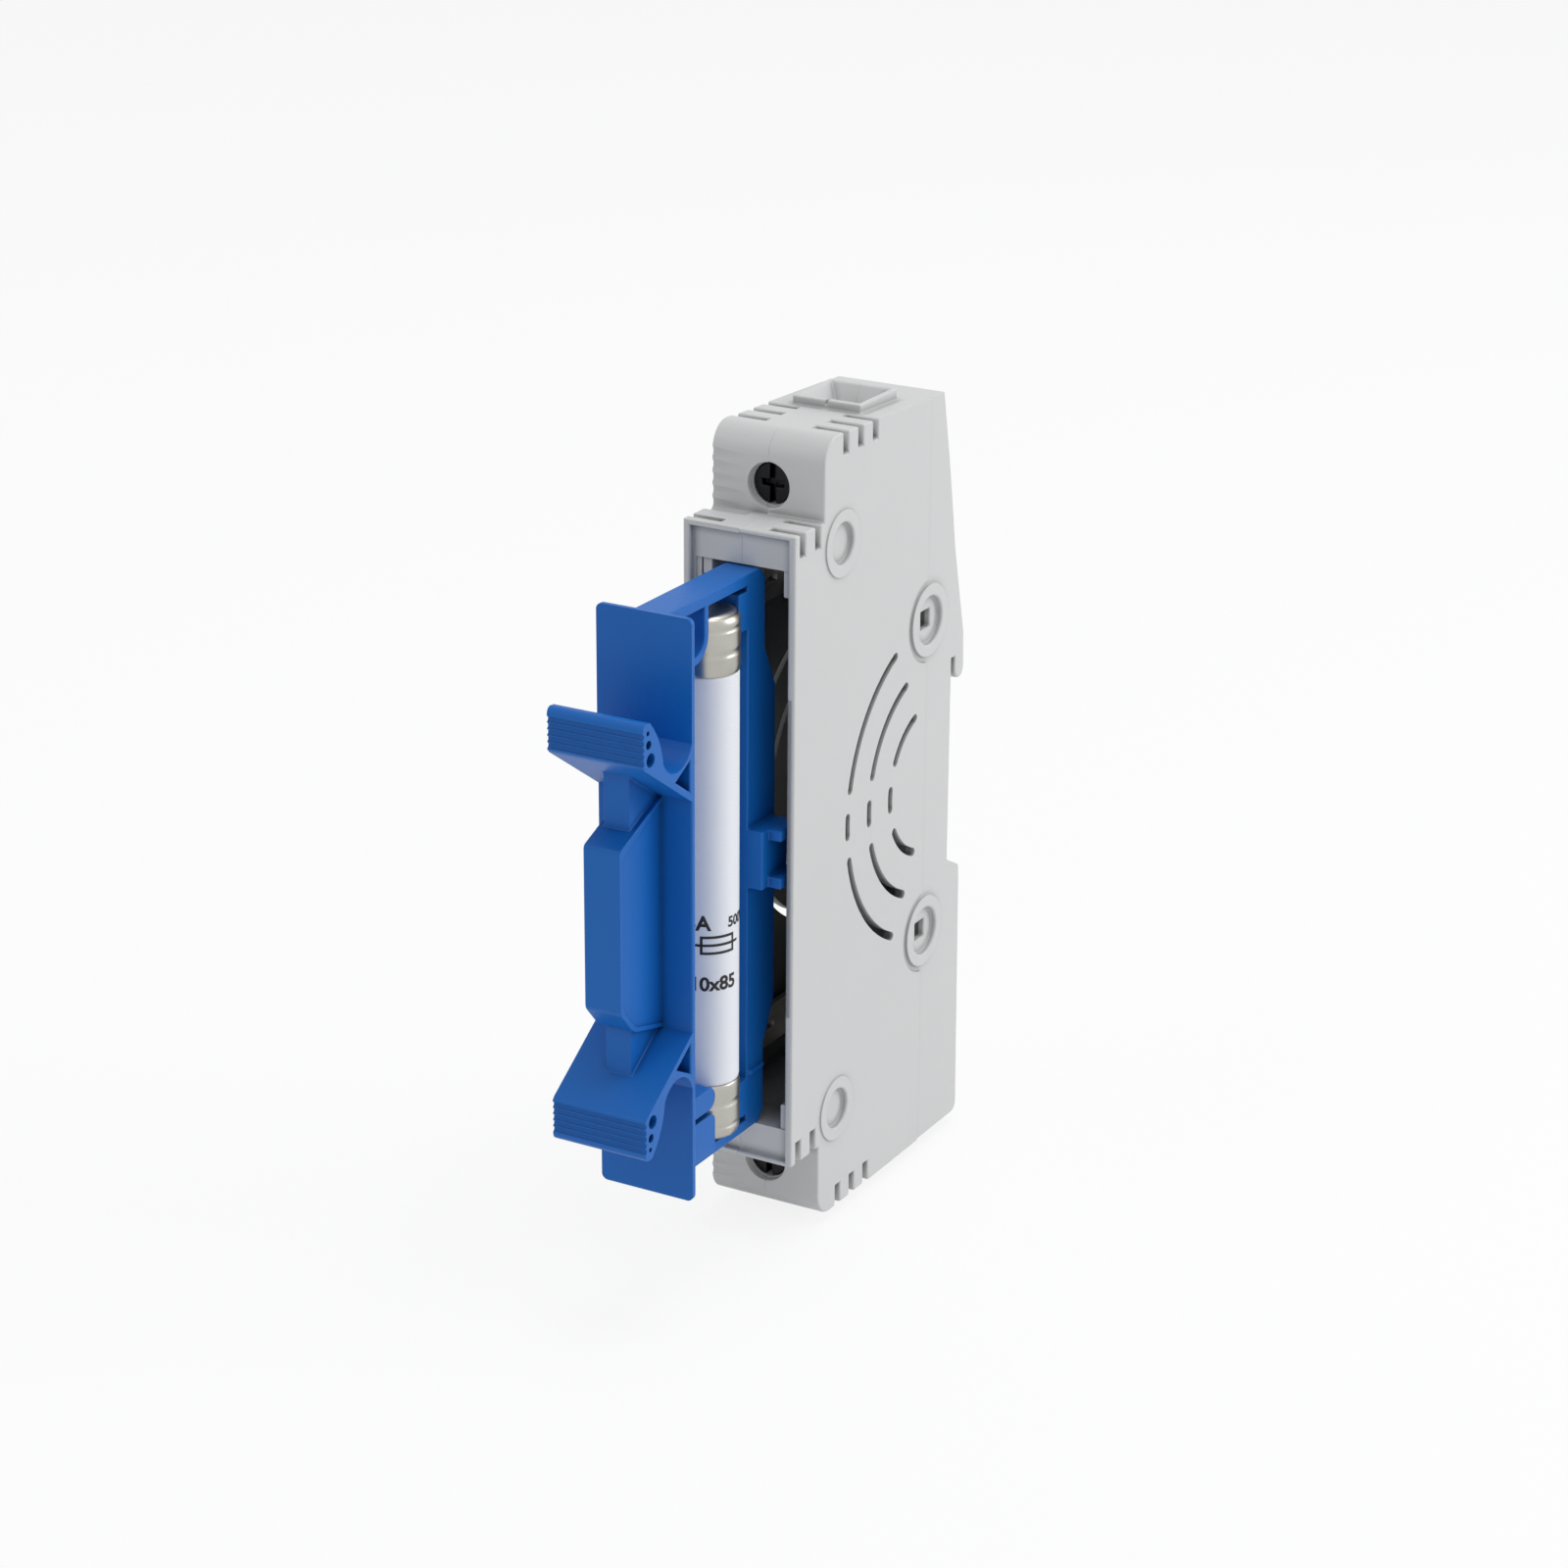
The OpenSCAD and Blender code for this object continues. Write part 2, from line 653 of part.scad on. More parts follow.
// Clamp screw with a cross and slot in its head
module screw() {
    recess = 1.5;
    slot_w = 1;
    color(zinc) difference() {
        union() {
            rod_y(term_z, head_d / 2, head_y, head_y + head_t);
            rod_y(term_z, shank_d / 2, head_y + head_t - eps, bar_y - 1.4);
            translate([0, bar_y - 1.4 - eps, term_z]) rotate([-90, 0, 0])
                cylinder(h = 1.4 - seat_gap / 2, r1 = shank_d / 2, r2 = shank_d / 2 - 0.9);
        }
        block(-slot_w / 2, slot_w / 2, head_y - 1, head_y + recess,
              term_z - head_d / 2 - 1, term_z + head_d / 2 + 1);
        block(-head_d * 0.3, head_d * 0.3, head_y - 1, head_y + recess,
              term_z - slot_w / 2, term_z + slot_w / 2);
    }
}

module upper_screw() { screw(); }

module lower_screw() { mirror([0, 0, 1]) screw(); }

// Foot behind the rail's lower flange, with its window for the spring
post_h = 2.5;
spring_z1 = seat_low - spring_in;
spring_z0 = spring_z1 - spring_l;
window_z0 = spring_z0 - foot_travel - post_h;
window_x = 2 * coil_r - 0.1;

module rail_foot() {
    tooth_z = -rail_z + tooth_over;
    flange_top = seat_low - 4 - seat_gap;
    pull_z = -end_z - pull_out;
    color(grey) difference() {
        union() {
            across(-foot_x, foot_x) polygon([
                [foot_y, tooth_z], [foot_y + 0.5, tooth_z],
                [foot_y + foot_t - 0.4, seat_low - 2.5], [foot_y + foot_t - 0.4, seat_low - 6],
                [foot_y + foot_t, seat_low - 9], [foot_y + foot_t, pull_z + 0.5],
                [foot_y + foot_t - 0.5, pull_z], [foot_y, pull_z]]);
            block(-foot_x - 0.8, foot_x + 0.8, foot_y, foot_y + 1.2, -end_z + 3, flange_top);
        }
        block(-window_x, window_x, foot_y - 1, foot_y + foot_t + 1, window_z0, spring_z1);
        block(-2.6, 2.6, foot_y - 1, foot_y + foot_t + 1, -end_z + 1.2, -end_z + 3.2);
    }
}

// Coil spring that pushes the foot up against the rail
module foot_spring() {
    ring_n = 12;
    side_n = 6;
    y = foot_y + foot_t / 2 - 0.1;
    h = spring_z1 - spring_z0 - 2 * wire_r;
    n = coil_n * ring_n;
    pts = [for (i = [0:n], k = [0:side_n - 1])
        let (a = 360 * i / ring_n, t = 360 * k / side_n, r = coil_r - wire_r + wire_r * cos(t))
        [r * cos(a), y + r * sin(a), spring_z0 + wire_r + h * i / n + wire_r * sin(t)]];
    sides = [for (i = [0:n - 1], k = [0:side_n - 1])
        let (a = i * side_n + k, b = i * side_n + (k + 1) % side_n)
        each [[a, b, b + side_n], [a, b + side_n, a + side_n]]];
    ends = [for (k = [1:side_n - 2]) each [[0, k + 1, k], [n * side_n, n * side_n + k,
        n * side_n + k + 1]]];
    color(zinc) polyhedron(points = pts, faces = concat(sides, ends));
}

// Outline of the upper wing in the side view, from its root on the plate to the tip and back
function wing_outline() =
    let (y = plate_front, tip = y - wing_reach, tz = wing_root_z + wing_rise,
         top = tz + tip_h, so = [y - scoop_r + 0.1, tz + 1], tip_r = 1,
         a = so + scoop_r * [cos(205), sin(205)], b = [tip + 1.9, top - 0.1])
    concat([[y + eps, wing_root_z]], [[tip + 0.5, tz - 0.25], [tip, tz + 0.3]],
           arc([tip + tip_r, top - tip_r], tip_r, 180, 65, 4),
           [for (i = [5:-1:0]) bow(a, b, 0.7, 5)[i]],
           arc(so, scoop_r, 205, 345, 9),
           [[y + eps, so[1] - 1]]);

module wing() {
    tip = plate_front - wing_reach;
    tz = wing_root_z + wing_rise;
    x = wing_w / 2;
    groove_pitch = (tip_h - 1.8) / groove_n;
    difference() {
        across(-x, x) polygon(wing_outline());
        for (i = [0:groove_n - 1])
            rod_x(tip - groove_r + groove_in, tz + 1 + i * groove_pitch, groove_r, -x - 1, x + 1);
        rod_x(tip + 1.4, tz + tip_h - 1.6, 0.35, -x - 1, x + 1);
        rod_x(tip + 1.6, tz + tip_h - 3.4, 0.65, -x - 1, x + 1);
        rod_x(tip + 2.1, tz + 0.95, 1.05, -x - 1, x + 1);
        across(-x - 1, x + 1) polygon([[plate_front - 4.4, wing_root_z + 4.35],
            [plate_front - 0.5, wing_root_z + 6.4], [plate_front - 0.5, wing_root_z + 1.7]]);
    }
}

// Label block and the neck that joins it to both wings
module label_block() {
    y = plate_front - label_reach;
    z = label_z;
    slope = wing_root_z - label_z;
    rim = 0.7;
    difference() {
        across(-label_w / 2, label_w / 2) polygon(concat(
            [[plate_front + eps, z + slope]], arc([y + 0.8, z - 0.3], 0.8, 115, 180, 3),
            arc([y + 1.6, -z + 1.6], 1.6, 180, 222, 4), [[y + 3, -z - 2.4], [y + 4.2, -z - 3.2]],
            [[plate_front + eps, -z - slope]]));
        both_sides() across(label_w / 2 - label_in, label_w / 2 + 1) polygon([
            [plate_front + 1, z + slope - rim], [plate_front, z + slope - rim],
            [y + rim + 0.6, z - rim], [y + rim, z - rim - 0.7], [y + rim, -z + 2],
            [y + rim + 0.6, -z + 0.9], [y + 3.6, -z - 2.4 + rim], [y + 4.6, -z - 3.2 + rim],
            [plate_front, -z - slope + rim], [plate_front + 1, -z - slope + rim]]);
    }
    across(-neck_w / 2, neck_w / 2) polygon([
        [plate_front + eps, wing_root_z + 0.4],
        [plate_front - neck_reach, wing_root_z + wing_rise * neck_reach / wing_reach + 0.2],
        [plate_front - neck_reach, -wing_root_z - wing_rise * neck_reach / wing_reach - 0.2],
        [plate_front + eps, -wing_root_z - 0.4]]);
}

module front_plate() {
    x = plate_w / 2 - plate_r;
    z = plate_z - plate_r;
    block(-plate_w / 2, plate_w / 2, plate_front, plate_back, -z, z);
    block(-x, x, plate_front, plate_back, -plate_z, plate_z);
    for (i = [-1, 1], k = [-1, 1])
        translate([i * x, plate_front, k * z]) rotate([-90, 0, 0])
            cylinder(h = plate_t, r = plate_r);
}

// The frame's two arms and back beam, in the side view
module frame_side() {
    corner = 1.6;
    difference() {
        polygon(concat([[plate_back - eps, -arm_out], [beam_back - corner, -arm_out],
            [beam_back, -arm_out + corner], [beam_back, -beam_slope_z],
            [beam_deep, -beam_mid_z], [beam_deep, beam_mid_z], [beam_back, beam_slope_z],
            [beam_back, arm_out - corner], [beam_back - corner, arm_out],
            [plate_back - eps, arm_out]]));
        translate([plate_back - 1, -arm_in]) square([beam_front - plate_back + 1, 2 * arm_in]);
    }
}

// Hollow finger in front of the upper cap
module upper_finger() {
    y1 = fuse_y - 4.35;
    bend = 4;
    z0 = arm_in - 8.2;
    across(-frame_w / 2, frame_w / 2) difference() {
        union() {
            translate([plate_back - eps, z0]) square([y1 - bend - plate_back, arm_in - z0 + eps]);
            translate([y1 - bend - eps, z0 + bend]) square([bend, arm_in - z0 - bend + eps]);
            translate([y1 - bend, z0 + bend]) circle(r = bend);
        }
        difference() {
            union() {
                translate([plate_back, z0 + finger_t])
                    square([y1 - bend - plate_back, arm_in - z0 - finger_t]);
                translate([y1 - bend - eps, z0 + bend])
                    square([bend - finger_t, arm_in - z0 - bend]);
                translate([y1 - bend, z0 + bend]) circle(r = bend - finger_t);
            }
        }
    }
}

// Two rounded lobes that hold the lower cap from the front
module lower_fingers() {
    x = 4.4;
    y1 = fuse_y - 4.6;
    lobe = 3.7;
    z1 = -arm_in + 11;
    z2 = z1 - lobe - 0.8;
    across(-x, x) {
        translate([plate_back - eps, z1 - lobe]) square([y1 - lobe / 2 - plate_back, lobe]);
        translate([y1 - lobe / 2, z1 - lobe / 2]) circle(r = lobe / 2);
        translate([plate_back + 2.5, -arm_in - eps]) square([y1 - plate_back - 4, z2 + arm_in]);
        translate([plate_back + 4, -arm_in - eps]) square([y1 - plate_back - 4, z2 - 1.5 + arm_in]);
        translate([y1 - 1.5, z2 - 1.5]) circle(r = 1.5);
    }
    across(-1, 1) translate([plate_back - eps, -arm_in - eps])
        square([8, arm_in + z1 - lobe / 2]);
}

// Saddles of the back beam behind the caps
module cap_saddles() {
    both_ends() block(-frame_w / 2, frame_w / 2, fuse_y + cap_r - 0.6, beam_front + eps,
                      fuse_l / 2 - 5.6, fuse_l / 2 + 0.4);
}

// Lug with two tongues that run along the right side wall and end in a catch
module side_lug() {
    x0 = frame_w / 2;
    step_x = 5.6;
    x1 = open_x - 0.15;
    front = beam_front + 1.8;
    tab = 1.8;
    block(x0 - eps, step_x, beam_front, front + 3, -lug_z, lug_z);
    for (z = [-lug_z, lug_z - tab])
        block(step_x - eps, x1, front, front + lug_l, z, z + tab);
    block(step_x, x1, front + lug_l - catch_l, front + lug_l, -lug_z + eps, lug_z - eps);
    block(x0 - eps, step_x, front + 3 - eps, front + 6, -lug_z, lug_z);
}

module beam_ledge() {
    block(frame_w / 2 - eps, frame_w / 2 + 0.5, beam_front + 0.4, beam_back - 0.6,
          -cap_z - 3.2, -cap_z - 2.4);
}

module fuse_carrier() {
    color(blue) difference() {
        union() {
            front_plate();
            both_ends() wing();
            label_block();
            across(-frame_w / 2, frame_w / 2) frame_side();
            upper_finger();
            lower_fingers();
            cap_saddles();
            both_sides() side_lug();
            beam_ledge();
        }
        translate([0, fuse_y, -arm_in]) cylinder(h = 2 * arm_in, r = nest_r, $fn = 72);
    }
}

tube_r = cap_r - tube_step;
neck_r = cap_r - cap_t - 0.02;
bore_r = neck_r - tube_wall + 0.15;

// White tube, turned down under the caps
module fuse_tube() {
    end = fuse_l / 2 - cap_t - 0.02;
    color("white") translate([0, fuse_y, -fuse_drop]) rotate_extrude($fn = 72)
        polygon([[bore_r, -end], [neck_r, -end], [neck_r, -cap_z], [tube_r, -cap_z],
                 [tube_r, cap_z], [neck_r, cap_z], [neck_r, end], [bore_r, end]]);
}

// Drawn metal cap with two crimped grooves, about the middle of the fuse
module cap() {
    z1 = fuse_l / 2;
    g = 0.12;
    inner = cap_r - cap_t;
    color(tin) translate([0, fuse_y, 0]) rotate_extrude($fn = 72)
        polygon(concat([[0, z1 - cap_t], [inner, z1 - cap_t], [inner, cap_z + 0.02],
            [cap_r, cap_z + 0.02]],
            [for (d = [6.6, 3]) each [[cap_r, z1 - d - 0.5], [cap_r - g, z1 - d - 0.2],
                [cap_r - g, z1 - d + 0.2], [cap_r, z1 - d + 0.5]]],
            arc([cap_r - cap_round, z1 - cap_round], cap_round, 0, 90, 6), [[0, z1]]));
}

module upper_cap() {
    translate([0, 0, -fuse_drop]) cap();
}

module lower_cap() {
    translate([0, 0, -fuse_drop]) mirror([0, 0, 1]) cap();
}

// Notched strip that melts
module melting_strip() {
    z = fuse_l / 2 - cap_t - 0.02;
    n = floor((z - 6) / notch_pitch);
    color("silver") translate([0, 0, -fuse_drop]) difference() {
        block(-element_w / 2, element_w / 2, fuse_y - element_t / 2, fuse_y + element_t / 2, -z, z);
        for (i = [-n:n], s = [-1, 1])
            translate([s * element_w / 2, fuse_y - 1, i * notch_pitch]) rotate([-90, 0, 0])
                cylinder(h = 2, r = element_w * 0.36, $fn = 24);
    }
}

// Quartz sand packed around the strip
module sand_filling() {
    z = fuse_l / 2 - cap_t - 0.04;
    color("ivory") translate([0, 0, -fuse_drop]) difference() {
        translate([0, fuse_y, -z]) cylinder(h = 2 * z, r = bore_r - 0.02, $fn = 72);
        block(-element_w / 2 - 0.02, element_w / 2 + 0.02, fuse_y - element_t / 2 - 0.02,
              fuse_y + element_t / 2 + 0.02, -z - 1, z + 1);
    }
}

housing_left();
housing_right();
upper_contact();
lower_contact();
upper_jaw_spring();
lower_jaw_spring();
upper_cage();
lower_cage();
upper_screw();
lower_screw();
rail_foot();
foot_spring();
fuse_carrier();
fuse_tube();
upper_cap();
lower_cap();
melting_strip();
sand_filling();
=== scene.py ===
import math
import bpy
import bmesh
import numpy as np
from mathutils import Matrix, Vector
from mathutils.kdtree import KDTree


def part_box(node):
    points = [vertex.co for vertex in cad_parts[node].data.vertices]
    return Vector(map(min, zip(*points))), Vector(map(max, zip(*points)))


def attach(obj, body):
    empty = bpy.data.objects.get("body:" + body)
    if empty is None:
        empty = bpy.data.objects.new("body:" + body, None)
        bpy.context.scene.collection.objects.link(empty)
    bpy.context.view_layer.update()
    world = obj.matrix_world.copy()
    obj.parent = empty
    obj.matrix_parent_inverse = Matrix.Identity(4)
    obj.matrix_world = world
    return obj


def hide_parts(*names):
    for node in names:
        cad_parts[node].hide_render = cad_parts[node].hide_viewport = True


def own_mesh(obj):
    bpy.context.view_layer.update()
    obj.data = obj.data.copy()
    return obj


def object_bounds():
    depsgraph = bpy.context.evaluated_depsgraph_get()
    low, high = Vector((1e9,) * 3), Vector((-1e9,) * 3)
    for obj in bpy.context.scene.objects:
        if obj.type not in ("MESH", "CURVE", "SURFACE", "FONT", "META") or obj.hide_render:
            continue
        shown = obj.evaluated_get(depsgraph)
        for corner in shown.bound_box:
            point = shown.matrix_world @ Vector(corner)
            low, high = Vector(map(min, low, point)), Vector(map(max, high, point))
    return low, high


mm = 0.001
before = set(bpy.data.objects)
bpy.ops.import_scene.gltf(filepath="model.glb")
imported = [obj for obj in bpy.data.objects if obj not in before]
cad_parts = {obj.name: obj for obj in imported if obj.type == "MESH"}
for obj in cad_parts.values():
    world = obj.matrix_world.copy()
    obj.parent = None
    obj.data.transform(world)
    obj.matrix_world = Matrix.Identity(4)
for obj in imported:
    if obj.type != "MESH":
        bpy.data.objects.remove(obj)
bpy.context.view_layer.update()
scene = bpy.context.scene
scene.view_settings.view_transform = "Standard"
print("frame loaded:", len(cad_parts), "nodes")


# Small helpers for node graphs

class Graph:
    # A material's or the world's nodes, with short calls to add and join them
    def __init__(self, tree):
        self.tree = tree
        tree.nodes.clear()

    def add(self, kind, **values):
        node = self.tree.nodes.new(kind)
        for key, value in values.items():
            if key in node.inputs:
                self.feed(node.inputs[key], value)
            else:
                setattr(node, key, value)
        return node

    def feed(self, socket, value):
        if isinstance(value, bpy.types.NodeSocket):
            self.tree.links.new(value, socket)
        elif isinstance(value, bpy.types.Node):
            self.tree.links.new(value.outputs[0], socket)
        else:
            socket.default_value = value

    def math(self, operation, a, b=0.0, c=0.0):
        node = self.add("ShaderNodeMath", operation=operation)
        for socket, value in zip(node.inputs, (a, b, c)):
            self.feed(socket, value)
        return node.outputs[0]

    def noise(self, place, scale, detail=2.0, roughness=0.5):
        return self.add("ShaderNodeTexNoise", Vector=place, Scale=scale, Detail=detail,
                        Roughness=roughness).outputs["Fac"]

    def spread(self, value, low, high):  # value from 0..1 to low..high
        node = self.add("ShaderNodeMapRange", Value=value)
        node.inputs["To Min"].default_value = low
        node.inputs["To Max"].default_value = high
        return node.outputs[0]

    def about(self, value, middle, width):  # value from 0..1 to a band of that width
        return self.math("MULTIPLY_ADD", value, width, middle - width / 2)

    def mix(self, factor, a, b):
        node = self.add("ShaderNodeMix", data_type="RGBA")
        self.feed(node.inputs[0], factor)
        self.feed(node.inputs[6], a)
        self.feed(node.inputs[7], b)
        return node.outputs[2]


def tone(colour, factor=1.0):  # a colour made darker or lighter, with its alpha
    return tuple(min(c * factor, 1.0) for c in colour) + (1.0,)


def newMaterial(name):
    material = bpy.data.materials.new(name)
    material.use_nodes = True
    return material, Graph(material.node_tree)


def finishMaterial(g, shader, bump=None):
    if bump is not None:
        g.feed(shader.inputs["Normal"], bump)
    g.add("ShaderNodeOutputMaterial", Surface=shader)


def bumpOf(g, height, distance, strength=1.0, below=None):
    node = g.add("ShaderNodeBump", Height=height, Distance=distance, Strength=strength)
    if below is not None:
        g.feed(node.inputs["Normal"], below)
    return node.outputs[0]


# Materials

def paintedShadeMask(g, place, room):
    # Painted shade: 1 inside the carrier's bay, 0 outside it, with a short blend at its mouth, and
    # a part of 1
    # # on the walls of the vents, which lie deeper than the side's own face; there the grey is
    # painted darker
    # # in place of the shade that falls inside
    split = g.add("ShaderNodeSeparateXYZ", Vector=place)
    across, height = (g.math("ABSOLUTE", split.outputs[i]) for i in (0, 2))
    depth = split.outputs[1]

    def under(value, limit):
        return g.math("LESS_THAN", value, room[limit] * mm)

    def ramp(value, low, high):
        node = g.add("ShaderNodeMapRange", Value=value)
        node.inputs["From Min"].default_value = room[low] * mm
        node.inputs["From Max"].default_value = room[high] * mm
        return node.outputs[0]

    def allOf(*parts):
        whole = parts[0]
        for part in parts[1:]:
            whole = g.math("MULTIPLY", whole, part)
        return whole

    bay = allOf(under(across, "halfWidth"), under(height, "halfHeight"), under(depth, "bayBack"),
                ramp(depth, "mouth", "dark"))
    vents = allOf(under(height, "ventHalfHeight"), under(depth, "ventBack"),
                  ramp(across, "ventTop", "ventDark"), room["ventShare"])
    return g.math("MAXIMUM", bay, vents)


def mouldedPlastic(name, look):
    # Spark-eroded mould surface: a fine even grain over faint, wide flow marks, with painted shade
    # in its
    # # crevices and, where a look asks for it, in the carrier's bay
    material, g = newMaterial(name)
    place = g.add("ShaderNodeTexCoord").outputs["Object"]
    flow = g.noise(place, look["flowScale"], 3.0)
    grain = g.noise(place, look["grainScale"], 2.0, 0.6)
    colour = g.mix(flow, *(tone(look["colour"], 1 + side * look["vary"]) for side in (-1, 1)))
    rough = g.about(grain, look["rough"], look["roughSpread"])
    # Painted shade inside the bay and on the vents' walls: the colour there is darkened to the
    # inner share
    if "inner" in look:
        colour = g.mix(paintedShadeMask(g, place, look["inner"]), colour,
                       tone(look["colour"], look["inner"]["share"]))
    # Painted shade in grooves and slots, so they look deeper: the less open sky a point sees
    # nearby, the
    # # darker its colour is painted
    openSky = g.add("ShaderNodeAmbientOcclusion", only_local=True, samples=8,
                    Distance=look["creviceReach"] * mm).outputs["AO"]
    openSky = g.math("POWER", openSky, look["crevicePower"])
    colour = g.mix(openSky, tone(look["colour"], look["creviceShadeTone"]), colour)
    shader = g.add("ShaderNodeBsdfPrincipled", Roughness=rough)
    g.feed(shader.inputs["Base Color"], colour)
    shader.inputs["IOR"].default_value = look["ior"]
    shader.inputs["Specular IOR Level"].default_value = look["shine"]
    bump = bumpOf(g, grain, look["grainHeight"] * mm, look["grainStrength"])
    bump = bumpOf(g, flow, look["flowHeight"] * mm, look["flowStrength"], bump)
    finishMaterial(g, shader, bump)
    return material


def platedMetal(name, look):
    # Dull plating: a base metal with soft clouds in its gloss and fine scratches
    material, g = newMaterial(name)
    place = g.add("ShaderNodeTexCoord").outputs["Object"]
    clouds = g.noise(place, look["cloudScale"], 4.0, 0.6)
    stretched = g.add("ShaderNodeMapping", Vector=place, Scale=look["scratchWay"]).outputs[0]
    scratches = g.noise(stretched, look["scratchScale"], 3.0, 0.7)
    colour = g.mix(clouds, *(tone(look["colour"], share) for share in look["tones"]))
    rough = g.about(clouds, look["rough"], look["roughSpread"])
    shader = g.add("ShaderNodeBsdfPrincipled", Roughness=rough)
    g.feed(shader.inputs["Base Color"], colour)
    shader.inputs["Metallic"].default_value = 1.0
    finishMaterial(g, shader, bumpOf(g, scratches, look["scratchDepth"] * mm, scratchStrength))
    return material


def wovenWhite(name, look):
    # Over-and-under glass weave on the tube's own unrolled map, which is in millimetres
    material, g = newMaterial(name)
    unrolled = g.add("ShaderNodeUVMap", uv_map="unrolled").outputs[0]
    split = g.add("ShaderNodeSeparateXYZ", Vector=unrolled)
    turn = 2 * math.pi / look["pitch"]
    across = g.math("SINE", g.math("MULTIPLY", split.outputs[0], turn))
    along = g.math("SINE", g.math("MULTIPLY", split.outputs[1], turn))
    weave = g.math("MULTIPLY_ADD", g.math("MULTIPLY", across, along), 0.5, 0.5)
    place = g.add("ShaderNodeTexCoord").outputs["Object"]
    cloud = g.noise(place, look["cloudScale"], 3.0)
    shade = g.math("MULTIPLY_ADD", weave, 1 - look["cloudShare"],
                   g.math("MULTIPLY", cloud, look["cloudShare"]))
    colour = g.mix(shade, tone(look["valley"]), tone(look["colour"]))
    shader = g.add("ShaderNodeBsdfPrincipled", Roughness=g.spread(cloud, *look["rough"]))
    g.feed(shader.inputs["Base Color"], colour)
    finishMaterial(g, shader, bumpOf(g, weave, look["height"] * mm, look["strength"]))
    return material


def grainyFill(name, look):
    # Sand: round cells, each dark at its rim
    material, g = newMaterial(name)
    place = g.add("ShaderNodeTexCoord").outputs["Object"]
    cells = g.add("ShaderNodeTexVoronoi", Vector=place, Scale=look["grains"]).outputs["Distance"]
    colour = g.mix(cells, *(tone(look["colour"], share) for share in look["tones"]))
    shader = g.add("ShaderNodeBsdfPrincipled")
    g.feed(shader.inputs["Base Color"], colour)
    shader.inputs["Roughness"].default_value = look["rough"]
    finishMaterial(g, shader, bumpOf(g, cells, look["height"] * mm))
    return material


def printedInk(name, look):
    # Matt ink with fine lighter specks
    material, g = newMaterial(name)
    place = g.add("ShaderNodeTexCoord").outputs["Object"]
    specks = g.noise(place, look["speckScale"], 3.0)
    shader = g.add("ShaderNodeBsdfPrincipled", Roughness=g.spread(specks, *look["rough"]))
    g.feed(shader.inputs["Base Color"],
           g.mix(specks, *(tone(look["colour"], share) for share in look["tones"])))
    finishMaterial(g, shader, bumpOf(g, specks, look["height"] * mm))
    return material


plasticLooks = {  # scales are per metre, heights and reaches in mm
    "grey": {"colour": (0.60, 0.605, 0.605), "vary": 0.02,
             "flowScale": 40.0, "flowHeight": 0.05, "flowStrength": 0.25,
             "grainScale": 3200.0, "grainHeight": 0.03, "grainStrength": 0.35,
             "rough": 0.52, "roughSpread": 0.16, "ior": 1.5, "shine": 0.4,
             "creviceReach": 1.5, "creviceShadeTone": 0.2, "crevicePower": 1.5,
             # inner: where the painted shade of the bay and of the vents' walls lies, and how dark
             # it is
             "inner": {"halfWidth": 8.1, "halfHeight": 45.9, "mouth": -50.5, "dark": -44.0,
                       "bayBack": -2.9, "share": 0.34, "ventTop": 9.46, "ventDark": 9.1,
                       "ventHalfHeight": 26.0, "ventBack": -12.2, "ventShare": 0.75}},
    "foot": {"colour": (0.50, 0.505, 0.51), "vary": 0.02,
             "flowScale": 60.0, "flowHeight": 0.05, "flowStrength": 0.25,
             "grainScale": 3200.0, "grainHeight": 0.03, "grainStrength": 0.35,
             "rough": 0.5, "roughSpread": 0.16, "ior": 1.5, "shine": 0.4,
             "creviceReach": 1.6, "creviceShadeTone": 0.4, "crevicePower": 1.3},
    "blue": {"colour": (0.004, 0.124, 0.47), "vary": 0.05,
             "flowScale": 55.0, "flowHeight": 0.05, "flowStrength": 0.25,
             "grainScale": 2800.0, "grainHeight": 0.03, "grainStrength": 0.4,
             "rough": 0.44, "roughSpread": 0.18, "ior": 1.48, "shine": 0.3,
             "creviceReach": 1.4, "creviceShadeTone": 0.3, "crevicePower": 1.2},
}
scratchStrength = 0.4
metalLooks = {  # tones: the darkest and the lightest share of the colour
    "cap": {"colour": (0.495, 0.485, 0.44), "tones": (0.76, 1.14), "cloudScale": 170.0,
            "rough": 0.32, "roughSpread": 0.14,
            "scratchWay": (0.3, 0.3, 1.6), "scratchScale": 900.0, "scratchDepth": 0.002},
    "tin": {"colour": (0.78, 0.76, 0.72), "tones": (0.86, 1.06), "cloudScale": 200.0,
            "rough": 0.36, "roughSpread": 0.2,
            "scratchWay": (1.0, 0.2, 2.0), "scratchScale": 900.0, "scratchDepth": 0.01},
    "spring": {"colour": (0.55, 0.56, 0.58), "tones": (0.86, 1.06), "cloudScale": 300.0,
               "rough": 0.3, "roughSpread": 0.15,
               "scratchWay": (1.0, 1.0, 1.0), "scratchScale": 900.0, "scratchDepth": 0.006},
    "zinc": {"colour": (0.62, 0.63, 0.66), "tones": (0.86, 1.06), "cloudScale": 350.0,
             "rough": 0.38, "roughSpread": 0.24,
             "scratchWay": (1.0, 1.0, 1.0), "scratchScale": 900.0, "scratchDepth": 0.01},
    "screw": {"colour": (0.021, 0.021, 0.023), "tones": (0.86, 1.06), "cloudScale": 500.0,
              "rough": 0.34, "roughSpread": 0.2,
              "scratchWay": (1.0, 1.0, 1.0), "scratchScale": 900.0, "scratchDepth": 0.012},
    "silver": {"colour": (0.90, 0.89, 0.86), "tones": (0.86, 1.06), "cloudScale": 400.0,
               "rough": 0.25, "roughSpread": 0.1,
               "scratchWay": (1.0, 1.0, 0.1), "scratchScale": 900.0, "scratchDepth": 0.004},
}
